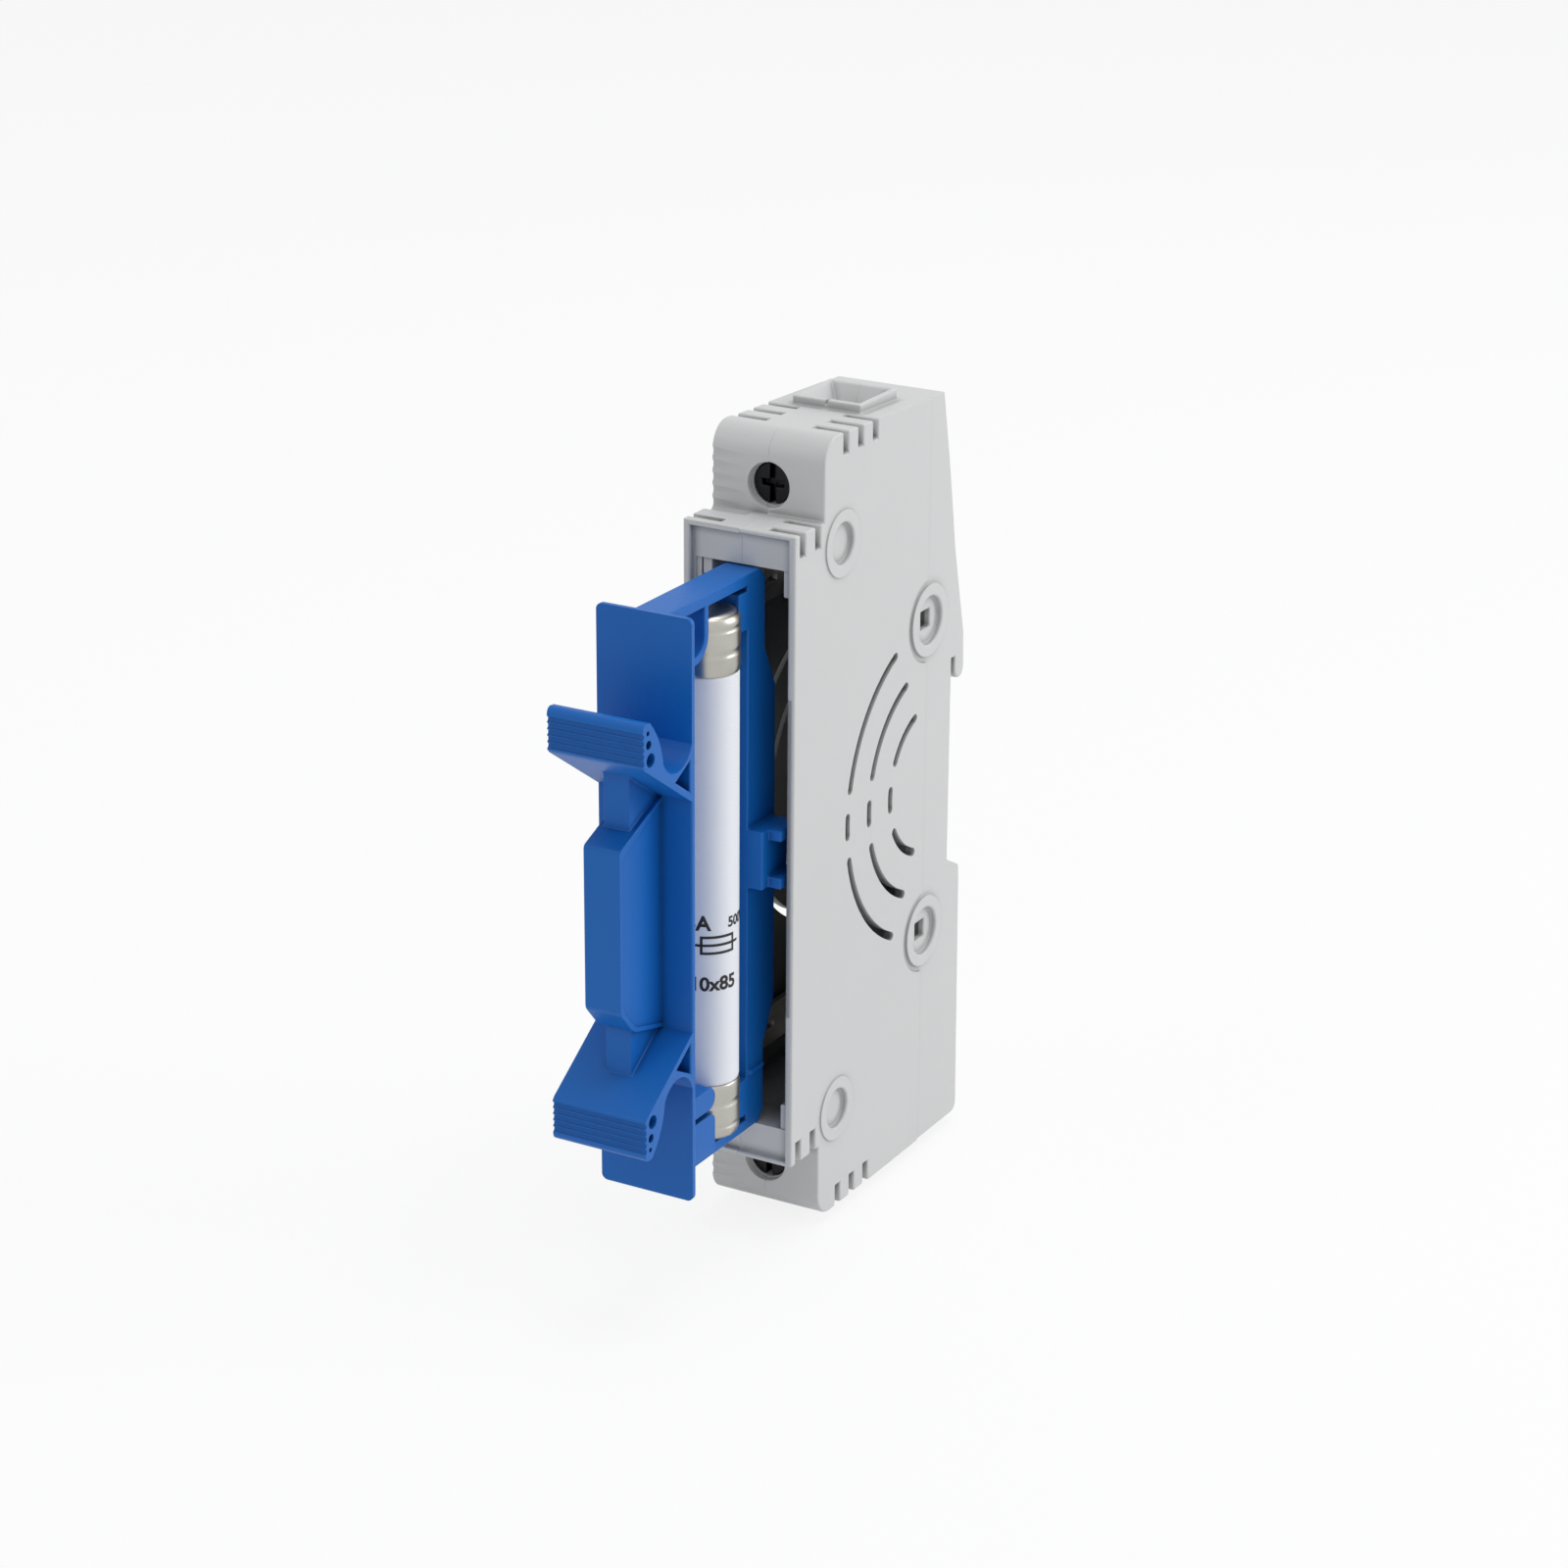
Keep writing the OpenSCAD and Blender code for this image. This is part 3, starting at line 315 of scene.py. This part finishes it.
tubeLook = {"colour": (0.88, 0.90, 0.935), "valley": (0.77, 0.795, 0.845),
            "pitch": 0.62, "height": 0.018, "strength": 0.6, "rough": (0.45, 0.58),
            "cloudScale": 160.0, "cloudShare": 0.25}
sandLook = {"colour": (0.74, 0.70, 0.60), "tones": (1.1, 0.7), "grains": 3500.0, "height": 0.1,
            "rough": 0.9}
inkLook = {"colour": (0.012, 0.012, 0.014), "tones": (0.7, 1.4), "speckScale": 2500.0,
           "height": 0.01, "rough": (0.45, 0.7)}
greyPlastic = mouldedPlastic("greyMouldedPlastic", plasticLooks["grey"])
footPlastic = mouldedPlastic("greyFootPlastic", plasticLooks["foot"])
bluePlastic = mouldedPlastic("blueMouldedPlastic", plasticLooks["blue"])
capMetal = platedMetal("silveredCapMetal", metalLooks["cap"])
tinnedMetal = platedMetal("tinnedCopper", metalLooks["tin"])
springMetal = platedMetal("springSteel", metalLooks["spring"])
zincMetal = platedMetal("zincPlatedSteel", metalLooks["zinc"])
screwMetal = platedMetal("screwSteel", metalLooks["screw"])
stripMetal = platedMetal("meltingSilver", metalLooks["silver"])
tubeWeave = wovenWhite("whiteWovenTube", tubeLook)
quartzFill = grainyFill("quartzSand", sandLook)
blackInk = printedInk("blackPrintInk", inkLook)
print("materials made")


# Pieces that keep a node's shape, with their sharp edges rounded

rounding = {  # lengths in mm, angles in degrees
    "merge": 0.015, "sliver": 0.01, "flat": 0.4,  # what counts as one point, no edge, one face
    "sharpest": 28.0, "rounded": 43.0,  # a fold above the first is an edge, above the other round
    "bend": 50.0,  # edges that turn less than this run on into each other
    "room": 2.6, "step": 0.35, "share": 0.4,  # the search for neighbours, and the part of it used
    "beside": 0.6,  # the least sideways part of a distance to a neighbour that counts
    "joint": 0.05, "jointShare": 0.2,  # the shells' joint plane, and how little is rounded there
    "least": 0.08, "segments": 2,
}


def mergedCopy(node, name):
    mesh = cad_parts[node].data.copy()
    mesh.materials.clear()
    work = bmesh.new()
    work.from_mesh(mesh)
    bmesh.ops.remove_doubles(work, verts=work.verts, dist=rounding["merge"] * mm)
    bmesh.ops.dissolve_degenerate(work, dist=rounding["sliver"] * mm, edges=work.edges)
    bmesh.ops.dissolve_limit(work, angle_limit=math.radians(rounding["flat"]),
                             verts=work.verts, edges=work.edges)
    mesh.name = name
    return work, mesh


def roomBeside(edges, reach):
    # For each sharp edge, the least sideways distance to a sharp edge that doesn't touch it
    owners, points = [], []
    for i, e in enumerate(edges):
        a, b = e.verts[0].co, e.verts[1].co
        n = max(2, int((b - a).length / (rounding["step"] * mm)) + 1)
        for k in range(n + 1):
            points.append(a.lerp(b, k / n))
            owners.append(i)
    tree = KDTree(len(points))
    for i, p in enumerate(points):
        tree.insert(p, i)
    tree.balance()
    room = [reach] * len(edges)
    touching = [set(f.index for v in e.verts for f in v.link_edges) for e in edges]
    ways = [(e.verts[1].co - e.verts[0].co).normalized() for e in edges]
    for i, p in zip(owners, points):
        for q, j, far in tree.find_range(p, room[i]):
            if far < room[i] and edges[owners[j]].index not in touching[i]:
                side = ((q - p) - ways[i] * (q - p).dot(ways[i])).length
                if side > rounding["beside"] * far:  # beside the edge and not ahead of it
                    room[i] = min(room[i], side)
    return room


tightZones = {  # node: (low corner, high corner, largest rounding), all in mm
    "housing_left": (((-12, -61, 49.5), (-3, -42.5, 62.5), 0.05),  # grip grooves, above and below
                     ((-12, -61, -62.5), (-3, -42.5, -49.5), 0.05)),
    "fuse_carrier": (((-9, -92, -60), (9, -86.6, 60), 0.12),  # ribbed wing tips
                     ((-3.7, -80, -19.5), (3.7, -78.8, 19.5), 0.03)),  # recess of the label
}


def zoneLimit(node, e):
    # The largest rounding at an edge, from the zones with fine detail
    spot = (e.verts[0].co + e.verts[1].co) / (2 * mm)
    limits = [limit for low, high, limit in tightZones.get(node, ())
              if all(l < c < h for l, c, h in zip(low, spot, high))]
    return min(limits, default=math.inf) * mm


def runsOf(edges):
    # Groups the edges that run on into each other without a sharp turn
    leader = {e.index: e.index for e in edges}
    straight = math.cos(math.radians(rounding["bend"]))

    def top(i):
        while leader[i] != i:
            i = leader[i]
        return i

    for e in edges:
        for v in e.verts:
            here = (e.other_vert(v).co - v.co).normalized()
            for f in v.link_edges:
                if f.index in leader and f is not e:
                    there = (f.other_vert(v).co - v.co).normalized()
                    if -here.dot(there) > straight:
                        leader[top(e.index)] = top(f.index)
    groups = {}
    for e in edges:
        groups.setdefault(top(e.index), []).append(e)
    return groups.values()


def roundEdges(work, mesh, node, width):
    # Each run of edges is rounded as far as its neighbours leave room, by one radius from end to
    # end, and a shallow fold only stays sharp
    work.edges.ensure_lookup_table()
    work.edges.index_update()
    work.normal_update()
    layer = work.edges.layers.float.new("bevel_weight_edge")
    folds = [(e, math.degrees(e.calc_face_angle(0.0))) for e in work.edges
             if len(e.link_faces) == 2]
    sharp = [e for e, fold in folds if fold > rounding["sharpest"]]
    steep = [e for e, fold in folds if fold > rounding["rounded"]]
    for f in work.faces:
        f.smooth = True
    for e, fold in folds:
        e.smooth = not rounding["sharpest"] < fold <= rounding["rounded"]
    room = dict(zip((e.index for e in sharp), roomBeside(sharp, rounding["room"] * width)))
    for run in runsOf(steep):
        radius = min(min(width, rounding["share"] * room[e.index], zoneLimit(node, e))
                     for e in run)
        if max(abs(v.co.x) for e in run for v in e.verts) < rounding["joint"] * mm:
            radius = min(radius, rounding["jointShare"] * width)
        for e in run:
            e[layer] = max(radius / width, rounding["least"])
    work.to_mesh(mesh)
    work.free()


def roundedPiece(name, node, body, material, width):
    work, mesh = mergedCopy(node, name)
    roundEdges(work, mesh, node, width)
    piece = bpy.data.objects.new(name, mesh)
    scene.collection.objects.link(piece)
    bevel = piece.modifiers.new("softEdges", "BEVEL")
    bevel.limit_method = "WEIGHT"
    bevel.width = width
    bevel.segments = rounding["segments"]
    bevel.use_clamp_overlap = False
    bevel.loop_slide = False
    flat = piece.modifiers.new("flatFaces", "WEIGHTED_NORMAL")
    flat.weight = 80
    flat.keep_sharp = True
    piece.data.materials.append(material)
    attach(piece, body)
    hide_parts(node)


softEdges = {  # node: (piece, body, slot, material, rounding in mm)
    "housing_left": ("leftShell", "base", "grey_shell", greyPlastic, 0.35),
    "housing_right": ("rightShell", "base", "grey_shell", greyPlastic, 0.35),
    "fuse_carrier": ("blueCarrier", "carrier", "blue_plastic", bluePlastic, 0.3),
    "rail_foot": ("slidingFoot", "foot", "grey_foot", footPlastic, 0.25),
    "upper_contact": ("upperJaw", "base", "tinned_copper", tinnedMetal, 0.12),
    "lower_contact": ("lowerJaw", "base", "tinned_copper", tinnedMetal, 0.12),
    "upper_jaw_spring": ("upperJawClip", "base", "spring_steel", springMetal, 0.1),
    "lower_jaw_spring": ("lowerJawClip", "base", "spring_steel", springMetal, 0.1),
    "upper_cage": ("upperClampCage", "clamp_upper", "zinc_steel", zincMetal, 0.25),
    "lower_cage": ("lowerClampCage", "clamp_lower", "zinc_steel", zincMetal, 0.25),
    "upper_screw": ("upperClampScrew", "screw_upper", "screw_steel", screwMetal, 0.18),
    "lower_screw": ("lowerClampScrew", "screw_lower", "screw_steel", screwMetal, 0.18),
}
for node, (name, body, slot, material, width) in softEdges.items():
    roundedPiece(name, node, body, material, width * mm)
print("rounded pieces made:", len(softEdges))


# Surfaces worked out on grids

def gridPiece(name, points, body, material, closeU=False, closeV=False, uv=None):
    # points is rows x columns x 3; the faces join neighbours and wrap where asked, and uv turns
    # a corner's row and column into its place on the unrolled map
    rows, columns = points.shape[:2]
    r = np.arange(rows if closeU else rows - 1)
    c = np.arange(columns if closeV else columns - 1)
    i, j = np.meshgrid(r, c, indexing="ij")
    i2, j2 = (i + 1) % rows, (j + 1) % columns
    faces = np.stack([i * columns + j, i * columns + j2, i2 * columns + j2, i2 * columns + j],
                     -1).reshape(-1, 4)
    mesh = bpy.data.meshes.new(name)
    mesh.from_pydata(points.reshape(-1, 3).tolist(), [], faces.tolist())
    mesh.polygons.foreach_set("use_smooth", np.ones(len(faces), bool))
    if uv is not None:
        layer = mesh.uv_layers.new(name="unrolled")
        corners = np.stack([np.stack([i, j], -1), np.stack([i, j + 1], -1),
                            np.stack([i + 1, j + 1], -1), np.stack([i + 1, j], -1)],
                           2).reshape(-1, 2)
        layer.data.foreach_set("uv", uv(corners[:, 0], corners[:, 1]).astype(np.float32).ravel())
    mesh.materials.append(material)
    piece = bpy.data.objects.new(name, mesh)
    scene.collection.objects.link(piece)
    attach(piece, body)
    return piece


def turned(profile, centre, turns):
    # Surface of revolution: the profile's (radius, height) points carried round a vertical axis
    a = np.linspace(0, 2 * np.pi, turns, endpoint=False)
    r, z = profile[:, 0][None, :], profile[:, 1][None, :]
    return np.stack([centre[0] + r * np.cos(a)[:, None], centre[1] + r * np.sin(a)[:, None],
                     centre[2] + z + 0 * a[:, None]], -1)


def boxOf(node):
    low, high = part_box(node)
    return np.array(low), np.array(high)


tubeLow, tubeHigh = boxOf("fuse_tube")
capLow, capHigh = boxOf("upper_cap")
fuseAxis = ((tubeLow + tubeHigh) / 2).tolist()
fuse = {"turns": 96, "rows": 220, "bends": 9, "capRows": 72,
        "tubeRadius": (tubeHigh[0] - tubeLow[0]) / 2, "tubeWall": 1.55 * mm, "seatGap": 0.03 * mm,
        "capRadius": (capHigh[0] - capLow[0]) / 2, "capEnd": capHigh[2] - fuseAxis[2],
        "capMouth": capLow[2] - fuseAxis[2], "mouthGap": 0.05 * mm, "sheet": 0.38 * mm,
        "corner": 1.6 * mm, "shoulder": 0.6 * mm, "lip": 1.2 * mm, "lipDrop": 0.28 * mm,
        "dish": 0.12 * mm, "pole": 0.02 * mm,  # how far the end is dished, and its tiny middle ring
        "grooves": ((6.0, 0.17, 0.8), (2.3, 0.14, 0.6))}  # from the end, depth, half width in mm


def tubePiece():
    # Outer and inner wall as one closed loop of (radius, height), carried round the fuse's axis
    # It narrows to its seat in the caps over a quarter-round shoulder
    end, mouth = tubeHigh[2] - fuseAxis[2], fuse["capMouth"]
    shoulder = mouth - np.linspace(0, fuse["shoulder"], fuse["bends"])
    out = np.unique(np.concatenate([np.linspace(-end, end, fuse["rows"]), shoulder, -shoulder]))
    share = np.clip((np.abs(out) - mouth) / fuse["shoulder"] + 1, 0, 1)
    seat = fuse["capRadius"] - fuse["sheet"] - fuse["seatGap"]
    step = fuse["tubeRadius"] - (fuse["tubeRadius"] - seat) * (1 - np.sqrt(1 - share ** 2))
    inner = fuse["tubeRadius"] - fuse["tubeWall"]
    loop = np.concatenate([np.stack([step, out], -1), [[inner, end], [inner, -end]]])
    points = turned(loop, fuseAxis, fuse["turns"])
    around = 2 * np.pi * fuse["tubeRadius"] / mm / fuse["turns"]
    heights = np.append(np.concatenate([out, [end, -end]]), -end) / mm
    piece = gridPiece("wovenTube", points, "carrier", tubeWeave, True, True,
                      uv=lambda i, j: np.stack([i * around, heights[j]], -1))
    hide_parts("fuse_tube")


def capPiece(name, node, side):
    # Drawn cup: wall with rolled grooves and lip, a quarter-round corner and a slightly dished end
    r, t, end, corner = (fuse[k] for k in ("capRadius", "sheet", "capEnd", "corner"))
    mouth, pole = fuse["capMouth"], fuse["pole"]
    wall = np.linspace(mouth + fuse["mouthGap"], end - corner, fuse["capRows"])
    share = np.clip(1 - (wall - wall[0]) / fuse["lip"], 0, 1)
    sunk = fuse["lipDrop"] * (1 - np.sqrt(1 - share ** 2))
    for far, depth, half in fuse["grooves"]:  # each sinks by one wave of a cosine
        x = np.clip((wall - (end - far * mm)) / (half * mm), -1, 1)
        sunk += depth * mm * (1 + np.cos(np.pi * x)) / 2
    turn = np.linspace(0, np.pi / 2, fuse["bends"])[1:]
    bend = np.stack([r - corner + corner * np.cos(turn), end - corner + corner * np.sin(turn)], -1)
    flat = np.linspace(r - corner, pole, fuse["bends"] + 1)[1:]
    dish = np.stack([flat, end - fuse["dish"] * np.cos(np.pi / 2 * flat / (r - corner))], -1)
    inside = np.array([[pole, end - t - pole], [r - t, end - t - pole],
                       [r - t, mouth + fuse["mouthGap"]], [r - t / 2, mouth + pole]])
    loop = np.concatenate([np.stack([r - sunk, wall], -1), bend, dish, inside])
    loop[:, 1] *= side
    points = turned(loop if side > 0 else loop[::-1], fuseAxis, fuse["turns"])
    piece = gridPiece(name, points, "carrier", capMetal, True, True)
    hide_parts(node)


fusePrint = {  # the tube's generic marking, in mm from the fuse's middle
    "turn": 52.0,  # degrees from the front
    "ink": 0.02, "lift": 0.012, "lineWidth": 0.42, "bold": 0.03,
    "slice": 0.2, "reach": 8.0, "off": 0.013,  # cuts that let it bend; off keeps them off its lines
    "symbol": {"middle": -9.6, "length": 5.3, "height": 2.6, "wire": 1.2},
    "lines": (  # words, across, up, letter size
        ("25A", -4.0, -7.1, 3.3), ("500V", 4.1, -7.0, 2.3), ("10x85", -0.6, -17.0, 3.1)),
}


def flatWords(work, words, across, up, size):
    curve = bpy.data.curves.new("words", "FONT")
    curve.body, curve.size, curve.align_x = words, size, "CENTER"
    curve.offset = fusePrint["bold"] * size
    holder = bpy.data.objects.new("words", curve)
    scene.collection.objects.link(holder)
    graph = bpy.context.evaluated_depsgraph_get()
    mesh = bpy.data.meshes.new_from_object(holder.evaluated_get(graph))
    mesh.transform(Matrix.Translation((across, up, 0)))
    work.from_mesh(mesh)
    bpy.data.objects.remove(holder)
    bpy.data.meshes.remove(mesh)


def flatBar(work, left, right, low, high):
    corners = ((left, low), (right, low), (right, high), (left, high))
    work.faces.new([work.verts.new((x, y, 0)) for x, y in corners])


def printPiece():
    # The flat marking is cut into narrow upright slices, and then each point's distance across
    # becomes the same length of arc round the tube
    work = bmesh.new()
    for line in fusePrint["lines"]:
        flatWords(work, *line)
    sign, w = fusePrint["symbol"], fusePrint["lineWidth"] / 2
    x, y, z = sign["length"] / 2, sign["height"] / 2, sign["middle"]
    flatBar(work, -x - w, x + w, z + y - w, z + y + w)
    flatBar(work, -x - w, x + w, z - y - w, z - y + w)
    flatBar(work, -x - w, -x + w, z - y + w, z + y - w)
    flatBar(work, x - w, x + w, z - y + w, z + y - w)
    flatBar(work, -x - sign["wire"], x + sign["wire"], z - w, z + w)
    for at in np.arange(-fusePrint["reach"], fusePrint["reach"], fusePrint["slice"]).tolist():
        bmesh.ops.bisect_plane(work, geom=work.verts[:] + work.edges[:] + work.faces[:], dist=1e-4,
                               plane_co=(at + fusePrint["off"], 0, 0), plane_no=(1, 0, 0))
    bmesh.ops.triangulate(work, faces=work.faces[:])
    mesh = bpy.data.meshes.new("fusePrint")
    work.to_mesh(mesh)
    work.free()
    flat = np.empty(3 * len(mesh.vertices), np.float32)
    mesh.vertices.foreach_get("co", flat)
    flat = flat.reshape(-1, 3) * mm
    radius = fuse["tubeRadius"] + fusePrint["lift"] * mm
    angle = flat[:, 0] / fuse["tubeRadius"] + math.radians(fusePrint["turn"])
    curved = np.stack([fuseAxis[0] + radius * np.sin(angle), fuseAxis[1] - radius * np.cos(angle),
                       fuseAxis[2] + flat[:, 1]], -1)
    mesh.vertices.foreach_set("co", curved.astype(np.float32).ravel())
    mesh.update()
    mesh.materials.append(blackInk)
    piece = bpy.data.objects.new("fusePrint", mesh)
    scene.collection.objects.link(piece)
    ink = piece.modifiers.new("inkFilm", "SOLIDIFY")
    ink.thickness, ink.offset = fusePrint["ink"] * mm, 1.0
    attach(piece, "carrier")


tubePiece()
printPiece()
capPiece("upperCap", "upper_cap", 1)
capPiece("lowerCap", "lower_cap", -1)
for node, material in (("melting_strip", stripMetal), ("sand_filling", quartzFill)):
    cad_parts[node].data.materials.clear()
    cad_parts[node].data.materials.append(material)
print("fuse made")


def sweptTube(path, radius, sides):
    # Circles of the given radius along a path, each square to the path's own direction
    way = np.gradient(path, axis=0)
    way /= np.linalg.norm(way, axis=1, keepdims=True)
    side = np.cross(way, [0, 0, 1.0])
    side /= np.linalg.norm(side, axis=1, keepdims=True)
    up = np.cross(side, way)
    a = np.linspace(0, 2 * np.pi, sides, endpoint=False)[None, :, None]
    r = np.asarray(radius).reshape(-1, 1, 1)
    return path[:, None] + r * (np.cos(a) * side[:, None] + np.sin(a) * up[:, None])


footSpring = {"turns": 7, "perTurn": 28, "wire": 0.22 * mm, "sides": 10, "closed": 0.6,
              "tip": 0.01 * mm, "shortest": 0.73}  # closed: the part of a turn that lies flat


def springPiece():
    # Helix whose pitch closes up over the first and the last turn, as a ground coil spring has:
    # there the height follows only the wire's own thickness, and between them it rises evenly
    low, high = boxOf("foot_spring")
    wire, turns, closed = (footSpring[k] for k in ("wire", "turns", "closed"))
    centre, radius = (low + high) / 2, (high[0] - low[0]) / 2 - wire
    n = turns * footSpring["perTurn"]
    t = np.linspace(0, 1, n + 1)
    rise = np.clip((t * turns - closed) / (turns - 2 * closed), 0, 1)
    ends = wire * (np.clip(t * turns / closed, 0, 1) - np.clip((1 - t) * turns / closed, 0, 1))
    z0, z1 = low[2] + 2 * wire, high[2] - 2 * wire
    angle = 2 * np.pi * turns * t
    path = np.stack([centre[0] + radius * np.cos(angle), centre[1] + radius * np.sin(angle),
                     z0 + (z1 - z0) * rise + ends], -1)
    thick = np.full(n + 1, wire)
    thick[[0, -1]] = footSpring["tip"]
    piece = gridPiece("footCoilSpring", sweptTube(path, thick, footSpring["sides"]), "base",
                      springMetal, False, True)
    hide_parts("foot_spring")
    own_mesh(piece)


springPiece()
print("foot spring made")


# Stage: floor, world, lamps and camera

stage = {"floorGap": 0.3 * mm, "floorHalf": 3.0, "floorTone": 0.9,
         "floorShow": 0.16,  # how much of its own shading the white floor shows
         "worldLight": 0.52, "worldTint": (0.98, 0.99, 1.0)}
lamps = {  # name: (place, aim, size, power), in metres and watts
    "keyLamp": ((-0.55, -0.95, 0.85), (0, -0.03, 0), 0.55, 1.0),
    "topLamp": ((0.15, 0.0, 1.2), (0, -0.03, 0), 0.7, 5.2),
    "sideLamp": ((0.98, 0.6, 0.45), (0, -0.03, 0), 0.7, 5.9),
}


def seenRays(g):
    # 1 for the rays by which the background is seen: straight on, in gloss or through glass
    path = g.add("ShaderNodeLightPath")
    seen = path.outputs["Is Camera Ray"]
    for kind in ("Is Glossy Ray", "Is Transmission Ray"):
        seen = g.math("MAXIMUM", seen, path.outputs[kind])
    return seen


def showWhite(g, shaded, share):
    # A surface that is seen as white, with some of its shading left in it
    white = g.add("ShaderNodeEmission", Color=(1, 1, 1, 1), Strength=1.0)
    mixer = g.add("ShaderNodeMixShader", Fac=g.math("MULTIPLY", seenRays(g), share))
    g.feed(mixer.inputs[1], shaded)
    g.feed(mixer.inputs[2], white)
    return mixer


def makeFloor():
    h, z = stage["floorHalf"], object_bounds()[0][2] - stage["floorGap"]
    mesh = bpy.data.meshes.new("floor")
    mesh.from_pydata([(-h, -h, z), (h, -h, z), (h, h, z), (-h, h, z)], [], [(0, 1, 2, 3)])
    floor = bpy.data.objects.new("floor", mesh)
    scene.collection.objects.link(floor)
    material, g = newMaterial("paleFloor")
    diffuse = g.add("ShaderNodeBsdfDiffuse", Color=tone(3 * (stage["floorTone"],)))
    g.add("ShaderNodeOutputMaterial", Surface=showWhite(g, diffuse, 1 - stage["floorShow"]))
    mesh.materials.append(material)


def makeWorld():
    world = bpy.data.worlds.new("softWhite")
    scene.world = world
    world.use_nodes = True
    g = Graph(world.node_tree)
    soft = g.add("ShaderNodeBackground", Color=tone(stage["worldTint"]),
                 Strength=stage["worldLight"])
    white = g.add("ShaderNodeBackground", Color=(1, 1, 1, 1), Strength=1.0)
    mixer = g.add("ShaderNodeMixShader", Fac=seenRays(g))
    g.feed(mixer.inputs[1], soft)
    g.feed(mixer.inputs[2], white)
    g.add("ShaderNodeOutputWorld", Surface=mixer)


def makeLamps():
    for name, (place, aim, size, power) in lamps.items():
        data = bpy.data.lights.new(name, "AREA")
        data.size, data.energy = size, power
        lamp = bpy.data.objects.new(name, data)
        lamp.location = place
        lamp.rotation_euler = (Vector(place) - Vector(aim)).to_track_quat("Z", "Y").to_euler()
        scene.collection.objects.link(lamp)


# The photograph's camera, solved from points of the housing; angles in degrees, lens in mm
photoView = {"place": (0.287756, -0.545067, 0.223145), "azimuth": 29.566, "elevation": 20.387,
             "roll": -0.377, "lens": 91.59, "sensor": 36.0, "near": 0.01, "far": 50.0}


def makeCamera():
    az, el, roll = (math.radians(photoView[k]) for k in ("azimuth", "elevation", "roll"))
    ahead = -Vector((math.sin(az) * math.cos(el), -math.cos(az) * math.cos(el), math.sin(el)))
    right = Vector((math.cos(az), math.sin(az), 0))
    down = ahead.cross(right)
    right, down = (right * math.cos(roll) + down * math.sin(roll),
                   down * math.cos(roll) - right * math.sin(roll))
    data = bpy.data.cameras.new("photoCamera")
    data.lens, data.sensor_width = photoView["lens"], photoView["sensor"]
    data.clip_start, data.clip_end = photoView["near"], photoView["far"]
    camera = bpy.data.objects.new("photoCamera", data)
    camera.matrix_world = Matrix((right, -down, -ahead)).transposed().to_4x4()
    camera.location = photoView["place"]
    scene.collection.objects.link(camera)
    scene.camera = camera


makeFloor()
makeWorld()
makeLamps()
makeCamera()
print("stage made")
